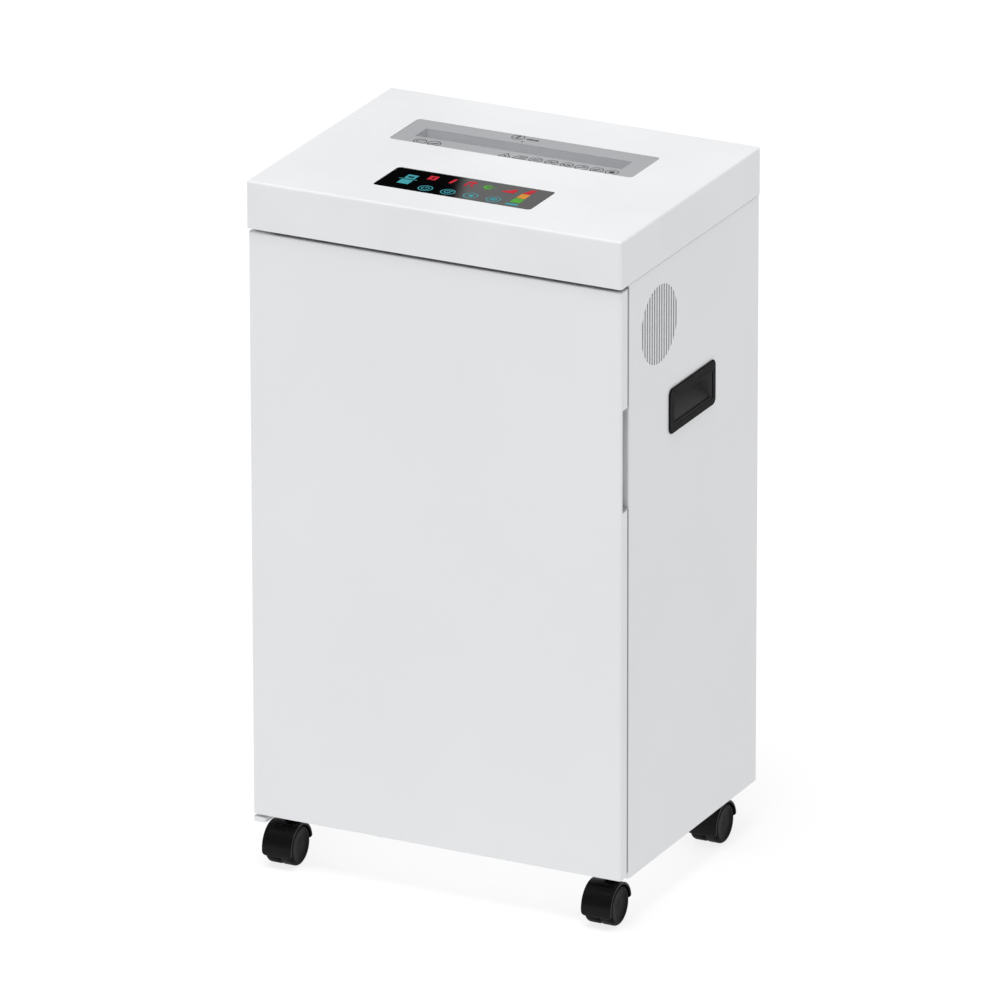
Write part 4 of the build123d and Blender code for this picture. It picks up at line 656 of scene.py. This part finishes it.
def seam_shade_strips():
    """Dark strips set just inside the seam behind the door and the seam under the cover, as painted shade
    in the gaps.

    The door's strip runs on the catch side only: on the hinge side the door's edge swings through it.
    """
    side_low, side_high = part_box("right_side_panel")
    pull_low, pull_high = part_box("door_pull_cup")
    seam_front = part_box("door_liner")[1].y + SHADE_STRIP_GAP
    seam_back = side_low.y - SHADE_STRIP_GAP
    outer = side_high.x - SHADE_STRIP_RECESS
    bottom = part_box("door_shell")[0].z + DOOR_SHADE_STRIP_FOOT
    top = side_high.z - SHADE_STRIP_END
    bm = bmesh.new()
    for start, end in ((bottom, pull_low.z), (pull_high.z, top)):
        block(bm, (outer - DOOR_SHADE_STRIP_DEPTH, seam_front, start), (outer, seam_back, end))
    # The grey strip in the door seam is painted shade.
    add_mesh("door_seam_shade", bm, "cabinet", MATERIALS["seam_shade"], smooth=False)

    seam_low = side_high.z + SHADE_STRIP_GAP
    seam_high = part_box("top_cover")[0].z - SHADE_STRIP_GAP
    bm = bmesh.new()
    for side in (-1.0, 1.0):
        near, far = sorted((side * outer, side * (outer - COVER_SHADE_STRIP_DEPTH)))
        block(bm, (near, side_low.y + SHADE_STRIP_END, seam_low), (far, side_high.y - SHADE_STRIP_END, seam_high))
    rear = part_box("back_panel")[1].y - SHADE_STRIP_RECESS
    block(bm, (-outer + SHADE_STRIP_END, rear - COVER_SHADE_STRIP_DEPTH, seam_low), (outer - SHADE_STRIP_END, rear, seam_high))
    # The near-black strip under the cover is painted shade.
    add_mesh("cover_seam_shade", bm, "cabinet", MATERIALS["dark_seam_shade"], smooth=False)


def paint_slot_wall_shade():
    """Paint the cut walls of the side panel's vent slots a darker grey, as painted shade inside the slots.
    """
    panel = nodes["right_side_panel"]
    panel.data.materials.append(MATERIALS["slot_wall_shade"])
    fan_low, fan_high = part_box("fan_frame")
    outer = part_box("right_side_panel")[1].x
    for face in panel.data.polygons:
        x, y, z = face.center
        across = fan_low.y - SLOT_MARGIN < y < fan_high.y + SLOT_MARGIN
        upright = fan_low.z - SLOT_MARGIN < z < fan_high.z + SLOT_MARGIN
        in_skin = x > outer - SLOT_MARGIN
        if across and upright and in_skin and abs(face.normal.x) < SLOT_WALL_LEAN:
            face.material_index = 1


seam_shade_strips()
paint_slot_wall_shade()

# ---- Side handles ---------------------------------------------------------------------------------

HANDLE_CORNER = 0.0060
HANDLE_EDGE = 0.0011
OPENING_SIDES = (0.0100, 0.0070)  # flange in front of and behind the opening
OPENING_ENDS = (0.0080, 0.0115)  # flange under and over the opening
OPENING_CORNER = 0.0014
RAMP_START = 0.0051  # depth at which the ramp begins, behind a slot
RAMP_SLOPE = 0.95
RAMP_SINK = 0.0070  # of the slot under the opening
RAMP_LIP = 0.0006  # of the ramp's foot over the opening's lower edge
CREASE = 0.0009  # width of the raised band at the ramp's rear end
CREASE_DEPTH = 0.0004
CREASE_RISE = 0.0008
ROOF_LIFT = 0.0050
RIM_SHARE = 0.6  # of the flange's height, where the basin joins it
BASIN_WALL = 0.0012
BASIN_BACK = 0.0016


def rounded(low, high, radius, steps=6):
    """A rounded rectangle's outline between two corners."""
    corners = (
        ((high[0] - radius, high[1] - radius), 0.0),
        ((low[0] + radius, high[1] - radius), 90.0),
        ((low[0] + radius, low[1] + radius), 180.0),
        ((high[0] - radius, low[1] + radius), 270.0),
    )
    points = []
    for centre, start in corners:
        points += arc(centre, radius, start, start + 90.0, steps)
    return points


def handle_flange(node, side, opening):
    """The soft-edged flange round a handle's opening, which stands for the handle's CAD piece."""
    low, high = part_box(node)
    face = max(abs(low.x), abs(high.x))
    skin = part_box("right_side_panel")[1].x
    place = side_place(side * skin, 0.0, 0.0, side)
    if side < 0:
        place = place @ Matrix.Scale(-1.0, 4, (1.0, 0.0, 0.0))
    outer_line = rounded((low.y, low.z), (high.y, high.z), HANDLE_CORNER)
    inner_line = rounded(*opening, OPENING_CORNER)
    bm = bmesh.new()
    strip(bm, outer_line, inner_line, place, face - skin)
    flange = add_mesh(f"{node}_flange", bm, "cabinet", MATERIALS["black_plastic"])
    soften(flange, HANDLE_EDGE, 4)
    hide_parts(node)


def handle_basin(node, side, opening):
    """The recess behind the opening: a slot at the bottom, a ramp that rises inwards and a roof, painted
    paler than the flange as painted light.
    """
    low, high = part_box(node)
    face = max(abs(low.x), abs(high.x))
    floor = face - min(abs(low.x), abs(high.x)) - BASIN_BACK
    rim = (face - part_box("right_side_panel")[1].x) * RIM_SHARE
    (front, bottom), (rear, top) = opening
    sunk = bottom - RAMP_SINK
    foot = bottom + RAMP_LIP
    ramp_top = bottom + RAMP_SLOPE * (floor - RAMP_START)
    roof = top + ROOF_LIFT
    bend = rear - CREASE
    bm = bmesh.new()

    def wall(*corners):
        """A flat face through corners given as depth behind the flange's face, Y and Z."""
        points = [(side * (face - depth), y, z) for depth, y, z in corners]
        bm.faces.new([bm.verts.new(point) for point in points])

    def upright(depth, start, end):
        """A flat face at one depth, between two heights."""
        wall((depth, front, start), (depth, rear, start), (depth, rear, end), (depth, front, end))

    def level(z, start, end):
        """A level face between two depths."""
        wall((start, front, z), (start, rear, z), (end, rear, z), (end, front, z))

    upright(RAMP_START, sunk, foot)
    wall((RAMP_START, front, foot), (RAMP_START, bend, foot),
         (floor, bend, ramp_top), (floor, front, ramp_top))
    wall((RAMP_START, bend, foot), (RAMP_START - CREASE_DEPTH, rear, foot + CREASE_RISE),
         (floor - CREASE_DEPTH, rear, ramp_top + CREASE_RISE), (floor, bend, ramp_top))
    upright(floor, ramp_top, roof)
    level(roof, rim, floor)
    upright(rim, top, roof)
    upright(rim, sunk, bottom)
    level(sunk, rim, RAMP_START)
    for y in (front, rear):
        wall((rim, y, sunk), (RAMP_START, y, sunk), (RAMP_START, y, bottom),
             (floor, y, ramp_top), (floor, y, roof), (rim, y, roof))
    # Painted light: the recess takes the paler basin grey.
    basin = add_mesh(f"{node}_basin", bm, "cabinet", MATERIALS["basin"], smooth=False)
    thick = basin.modifiers.new("wall", "SOLIDIFY")
    thick.thickness = BASIN_WALL
    thick.offset = 0.0


def side_handle(node, side):
    """A recessed grip in a side panel: a flange and the basin behind it."""
    low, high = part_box(node)
    opening = (
        (low.y + OPENING_SIDES[0], low.z + OPENING_ENDS[0]),
        (high.y - OPENING_SIDES[1], high.z - OPENING_ENDS[1]),
    )
    handle_flange(node, side, opening)
    handle_basin(node, side, opening)


side_handle("right_side_handle", 1.0)
side_handle("left_side_handle", -1.0)

# ---- Back panel: screws and switch marks ----------------------------------------------------------

SCREW_ROWS = 4
SCREW_RADIUS = 0.0032
SCREW_RISE = 0.0009
SCREW_TURN = 0.7  # from one row's cross to the next, in radians
HEAD_RINGS = 18
HEAD_STEPS = 72
CROSS_REACH = 0.62  # of the head's radius, as the width is
CROSS_HALF = 0.125
CROSS_DEPTH = 0.00072
ROCKER_RING = 0.0024
ROCKER_RING_LINE = 0.0006
ROCKER_BAR = 0.0052
ROCKER_BAR_LINE = 0.0008


def screw_head(bm, place, radius):
    """A pan head with a cross recess, its dome towards the place's Z axis."""
    grid = []
    for step_out in range(HEAD_RINGS + 1):
        share = step_out / HEAD_RINGS
        row = []
        for step in range(HEAD_STEPS):
            turn = 2 * math.pi * step / HEAD_STEPS
            x = share * math.cos(turn)
            y = share * math.sin(turn)
            height = SCREW_RISE * math.sqrt(max(0.0, 1.0 - share**4))
            if max(abs(x), abs(y)) < CROSS_REACH and min(abs(x), abs(y)) < CROSS_HALF:
                height -= CROSS_DEPTH
            row.append(bm.verts.new(place @ Vector((radius * x, radius * y, height))))
        grid.append(row)
    for low, high in zip(grid, grid[1:]):
        for i in range(HEAD_STEPS):
            j = (i + 1) % HEAD_STEPS
            bm.faces.new((low[i], low[j], high[j], high[i]))


def panel_screws():
    """Cross-head screws that hold the back panel, in place of the plain ones."""
    low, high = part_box("panel_screws")
    face = high.y - SCREW_RISE
    shank = [(SCREW_RADIUS / 2, 0.0), (SCREW_RADIUS / 2, face - low.y)]
    outwards = Matrix.Rotation(math.radians(-90.0), 4, "X")
    inwards = Matrix.Rotation(math.radians(90.0), 4, "X")
    bm = bmesh.new()
    for row in range(SCREW_ROWS):
        z = low.z + SCREW_RADIUS + (high.z - low.z - 2 * SCREW_RADIUS) * row / (SCREW_ROWS - 1)
        for x in (low.x + SCREW_RADIUS, high.x - SCREW_RADIUS):
            place = Matrix.Translation((x, face, z))
            cross = Matrix.Rotation(row * SCREW_TURN + x, 4, "Z")
            screw_head(bm, place @ outwards @ cross, SCREW_RADIUS)
            lathe(bm, shank, place @ inwards, 16)
    bmesh.ops.remove_doubles(bm, verts=bm.verts, dist=1e-6)
    screws = add_mesh("panel_screws_fine", bm, "cabinet", MATERIALS["steel"])
    screws.modifiers.new("split", "EDGE_SPLIT").split_angle = math.radians(40.0)
    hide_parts("panel_screws")


def rocker_marks():
    """A line and a ring printed on the two halves of the power rocker."""
    rocker = nodes["power_rocker"].data
    low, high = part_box("power_rocker")
    middle = (low + high) / 2
    bm = bmesh.new()
    for side in (-1.0, 1.0):
        faces = [f for f in rocker.polygons if f.normal.y > 0.9 and (f.center.x - middle.x) * side > 0.0]
        area = sum(f.area for f in faces)
        centre = sum((f.center * f.area for f in faces), Vector()) / area
        normal = sum((f.normal * f.area for f in faces), Vector()).normalized()
        turn = normal.to_track_quat("Z", "Y").to_matrix().to_4x4()
        place = Matrix.Translation(centre - normal * INK_ROOT) @ turn
        if side > 0:
            ring(bm, place, ROCKER_RING, ROCKER_RING_LINE)
        else:
            stroke(bm, place, (0.0, -ROCKER_BAR / 2), (0.0, ROCKER_BAR / 2), ROCKER_BAR_LINE)
    add_mesh("rocker_marks", bm, "rocker", INK_WHITE, smooth=False)


panel_screws()
rocker_marks()

# ---- Casters --------------------------------------------------------------------------------------

HOOD_GAP = 0.0010
HOOD_THICK = 0.0022
HOOD_SWEEP = math.radians(198.0)  # of the band, from level behind the axle over the top
HOOD_STEPS = 120
HOOD_SOFT = 0.0009
HOOD_CORNER = 0.0042
HOOD_LAP = 0.0008  # of the band past the wheels on each side
WEB_THICK = 0.0024
STEM_RADIUS = 0.0040
NECK_RADIUS = 0.0080
HUB_RADIUS = 0.0064
NECK_GAP = 0.0006  # between the neck and the socket
CASTER_TRAIL = 0.0121  # from the axle back to the stem
AXLE_RADIUS = 0.0030
WHEEL_EDGE = 0.0032
WHEEL_GAP = 0.0003  # between a wheel and the web


def caster_wheels(name):
    """Twin nylon wheels: rounded treads, a shallow dished face, a rib ring and a raised hub cap."""
    low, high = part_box(f"{name}_caster_wheels")
    middle = (low + high) / 2
    radius = (high.z - low.z) / 2
    half = (high.x - low.x) / 2
    inner = WEB_THICK / 2 + WHEEL_GAP
    bm = bmesh.new()
    for facing in (-1.0, 1.0):
        place = side_place(middle.x, middle.y, middle.z, facing)
        edge = [(radius - WHEEL_EDGE * (1 - math.sin(turn)), half - WHEEL_EDGE * (1 - math.cos(turn)))
                for turn in (math.radians(90 - 15 * step) for step in range(7))]
        profile = [
            (0.0, inner), (AXLE_RADIUS, inner), (radius - 0.0060, inner), (radius - 0.0008, inner),
            (radius, inner + 0.0008), *edge,
            (radius - 0.0042, half), (radius - 0.0046, half - 0.0003), (0.0060, half - 0.0006),
            (0.0, half - 0.0004),
        ]
        lathe(bm, profile, place, 72)
        axle = [(0.0, 0.0), (AXLE_RADIUS, 0.0), (AXLE_RADIUS, inner + 0.0004), (0.0, inner + 0.0004)]
        lathe(bm, axle, place, 32)
    wheels = add_mesh(f"{name}_wheels_fine", bm, f"{name}_wheels", MATERIALS["wheel_black"])
    wheels.modifiers.new("split", "EDGE_SPLIT").split_angle = math.radians(50.0)
    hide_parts(f"{name}_caster_wheels")


def hood_band(bm, axle, inner, outer, half):
    """The rolled band over the wheels, with its four corners rounded."""
    rows = []
    for step in range(HOOD_STEPS + 1):
        turn = HOOD_SWEEP * step / HOOD_STEPS
        from_end = min(turn, HOOD_SWEEP - turn) * outer
        inset = 0.0
        if from_end < HOOD_CORNER:
            inset = HOOD_CORNER - math.sqrt(HOOD_CORNER**2 - (HOOD_CORNER - from_end) ** 2)
        reach = half - inset
        row = []
        for radius, x in ((outer, -reach), (outer, reach), (inner, reach), (inner, -reach)):
            point = axle + Vector((x, radius * math.cos(turn), radius * math.sin(turn)))
            row.append(bm.verts.new(point))
        rows.append(row)
    for low, high in zip(rows, rows[1:]):
        for i in range(4):
            j = (i + 1) % 4
            bm.faces.new((low[i], low[j], high[j], high[i]))
    bm.faces.new(rows[0])
    bm.faces.new(rows[-1][::-1])


def caster_hood(name):
    """The hood over a caster's wheels: a rolled band with soft edges, a middle web, a neck and a stem."""
    stem_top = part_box(f"{name}_caster_hood")[1].z
    neck_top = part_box("caster_sockets")[0].z - NECK_GAP
    low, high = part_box(f"{name}_caster_wheels")
    axle = (low + high) / 2
    wheel_radius = (high.z - low.z) / 2
    half = (high.x - low.x) / 2
    inner = wheel_radius + HOOD_GAP
    outer = inner + HOOD_THICK
    bm = bmesh.new()
    hood_band(bm, axle, inner, outer, half + HOOD_LAP)
    web_place = side_place(axle.x - WEB_THICK / 2, axle.y, axle.z)
    prism(bm, arc((0.0, 0.0), inner + HOOD_THICK / 2, 0.0, 180.0), web_place, WEB_THICK)
    lathe(bm, [(0.0, 0.0), (HUB_RADIUS, 0.0), (HUB_RADIUS, WEB_THICK), (0.0, WEB_THICK)], web_place, 32)
    crown = axle.z + wheel_radius
    stem = [(0.0, crown), (NECK_RADIUS, crown), (NECK_RADIUS, neck_top),
            (STEM_RADIUS, neck_top), (STEM_RADIUS, stem_top), (0.0, stem_top)]
    lathe(bm, stem, Matrix.Translation((axle.x, axle.y + CASTER_TRAIL, 0.0)), 32)
    hood = add_mesh(f"{name}_hood_fine", bm, f"{name}_swivel", MATERIALS["caster_black"])
    soften(hood, HOOD_SOFT)
    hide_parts(f"{name}_caster_hood")


for caster in ("rear_left", "front_left", "rear_right", "front_right"):
    caster_wheels(caster)
    caster_hood(caster)

# ---- Floor, light and camera ----------------------------------------------------------------------


def aim(thing, target, roll=0.0):
    """Turn a camera or light to look at a point."""
    turn = (target - thing.location).to_track_quat("-Z", "Y")
    thing.rotation_euler = (turn.to_matrix() @ Matrix.Rotation(roll, 3, "Z")).to_euler()


def direction(azimuth, elevation):
    """Unit vector from the object towards a viewer at that azimuth and elevation."""
    return Vector((
        math.sin(azimuth) * math.cos(elevation),
        -math.cos(azimuth) * math.cos(elevation),
        math.sin(elevation),
    ))


def staged_panel(name, width, depth):
    """A flat stage rectangle about its own origin."""
    x, y = width / 2, depth / 2
    mesh = bpy.data.meshes.new(name)
    mesh.from_pydata([(-x, -y, 0), (x, -y, 0), (x, y, 0), (-x, y, 0)], [], [(0, 1, 2, 3)])
    panel = bpy.data.objects.new(name, mesh)
    bpy.context.scene.collection.objects.link(panel)
    return panel


def make_studio():
    """A pale floor, an even white surround and one wide soft sun overhead."""
    bpy.context.scene.view_settings.view_transform = "Standard"
    world = bpy.data.worlds.new("studio")
    world.use_nodes = True
    background = world.node_tree.nodes["Background"]
    background.inputs["Color"].default_value = (1.0, 1.0, 1.0, 1.0)
    background.inputs["Strength"].default_value = WORLD_STRENGTH
    bpy.context.scene.world = world

    floor = staged_panel("floor", FLOOR_SIZE, FLOOR_SIZE)
    material, tree, shader = new_material("floor")
    tree.links.new(tint(tree, noise(tree, 3.0), FLOOR_COLOUR, 0.003), shader.inputs["Base Color"])
    shader.inputs["Roughness"].default_value = 0.9
    shader.inputs["Specular IOR Level"].default_value = 0.1
    shader.inputs["Emission Color"].default_value = (1.0, 1.0, 1.0, 1.0)
    shader.inputs["Emission Strength"].default_value = FLOOR_GLOW
    paint(floor, material)

    key = bpy.data.lights.new("key", "SUN")
    key.energy = KEY_STRENGTH
    key.angle = KEY_SPREAD
    lamp = bpy.data.objects.new("key", key)
    lamp.location = KEY_DISTANCE * direction(KEY_AZIMUTH, KEY_ELEVATION)
    bpy.context.scene.collection.objects.link(lamp)
    aim(lamp, Vector((0.0, 0.0, 0.0)))


def make_camera():
    """The camera at the photograph's viewing angle."""
    camera = bpy.data.cameras.new("camera")
    camera.lens = CAMERA_LENS
    camera.sensor_width = CAMERA_SENSOR
    camera.clip_end = CAMERA_REACH
    view = bpy.data.objects.new("camera", camera)
    bpy.context.scene.collection.objects.link(view)
    view.location = CAMERA_TARGET + CAMERA_DISTANCE * direction(CAMERA_AZIMUTH, CAMERA_ELEVATION)
    aim(view, CAMERA_TARGET, CAMERA_ROLL)
    bpy.context.scene.camera = view


def make_card():
    """A soft light panel that only the polished fascia mirrors, with one soft edge across it."""
    low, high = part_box("control_fascia")
    centre = (low + high) / 2
    away = direction(CAMERA_AZIMUTH, CAMERA_ELEVATION)
    mirrored = Vector((-away.x, -away.y, away.z))
    card = staged_panel("card", *CARD_SIZE)
    card.location = centre + CARD_DISTANCE * mirrored
    turn = mirrored.to_track_quat("Z", "Y").to_matrix() @ Matrix.Rotation(CARD_TILT, 3, "Z")
    card.rotation_euler = turn.to_euler()
    material, tree, shader = new_material("card")
    coordinates = tree.nodes.new("ShaderNodeTexCoord")
    parts = tree.nodes.new("ShaderNodeSeparateXYZ")
    tree.links.new(coordinates.outputs["Object"], parts.inputs["Vector"])
    glow = spread(tree, parts.outputs["X"], CARD_GLOW, 0.0, CARD_SHIFT - CARD_EDGE, CARD_SHIFT + CARD_EDGE)
    tree.links.new(glow, shader.inputs["Emission Strength"])
    shader.inputs["Emission Color"].default_value = (1.0, 1.0, 1.0, 1.0)
    shader.inputs["Base Color"].default_value = (0.0, 0.0, 0.0, 1.0)
    shader.inputs["Roughness"].default_value = 1.0
    shader.inputs["Specular IOR Level"].default_value = 0.0
    paint(card, material)
    card.visible_camera = False
    card.visible_diffuse = False
    card.visible_shadow = False
    card.visible_transmission = False


make_studio()
make_camera()
make_card()
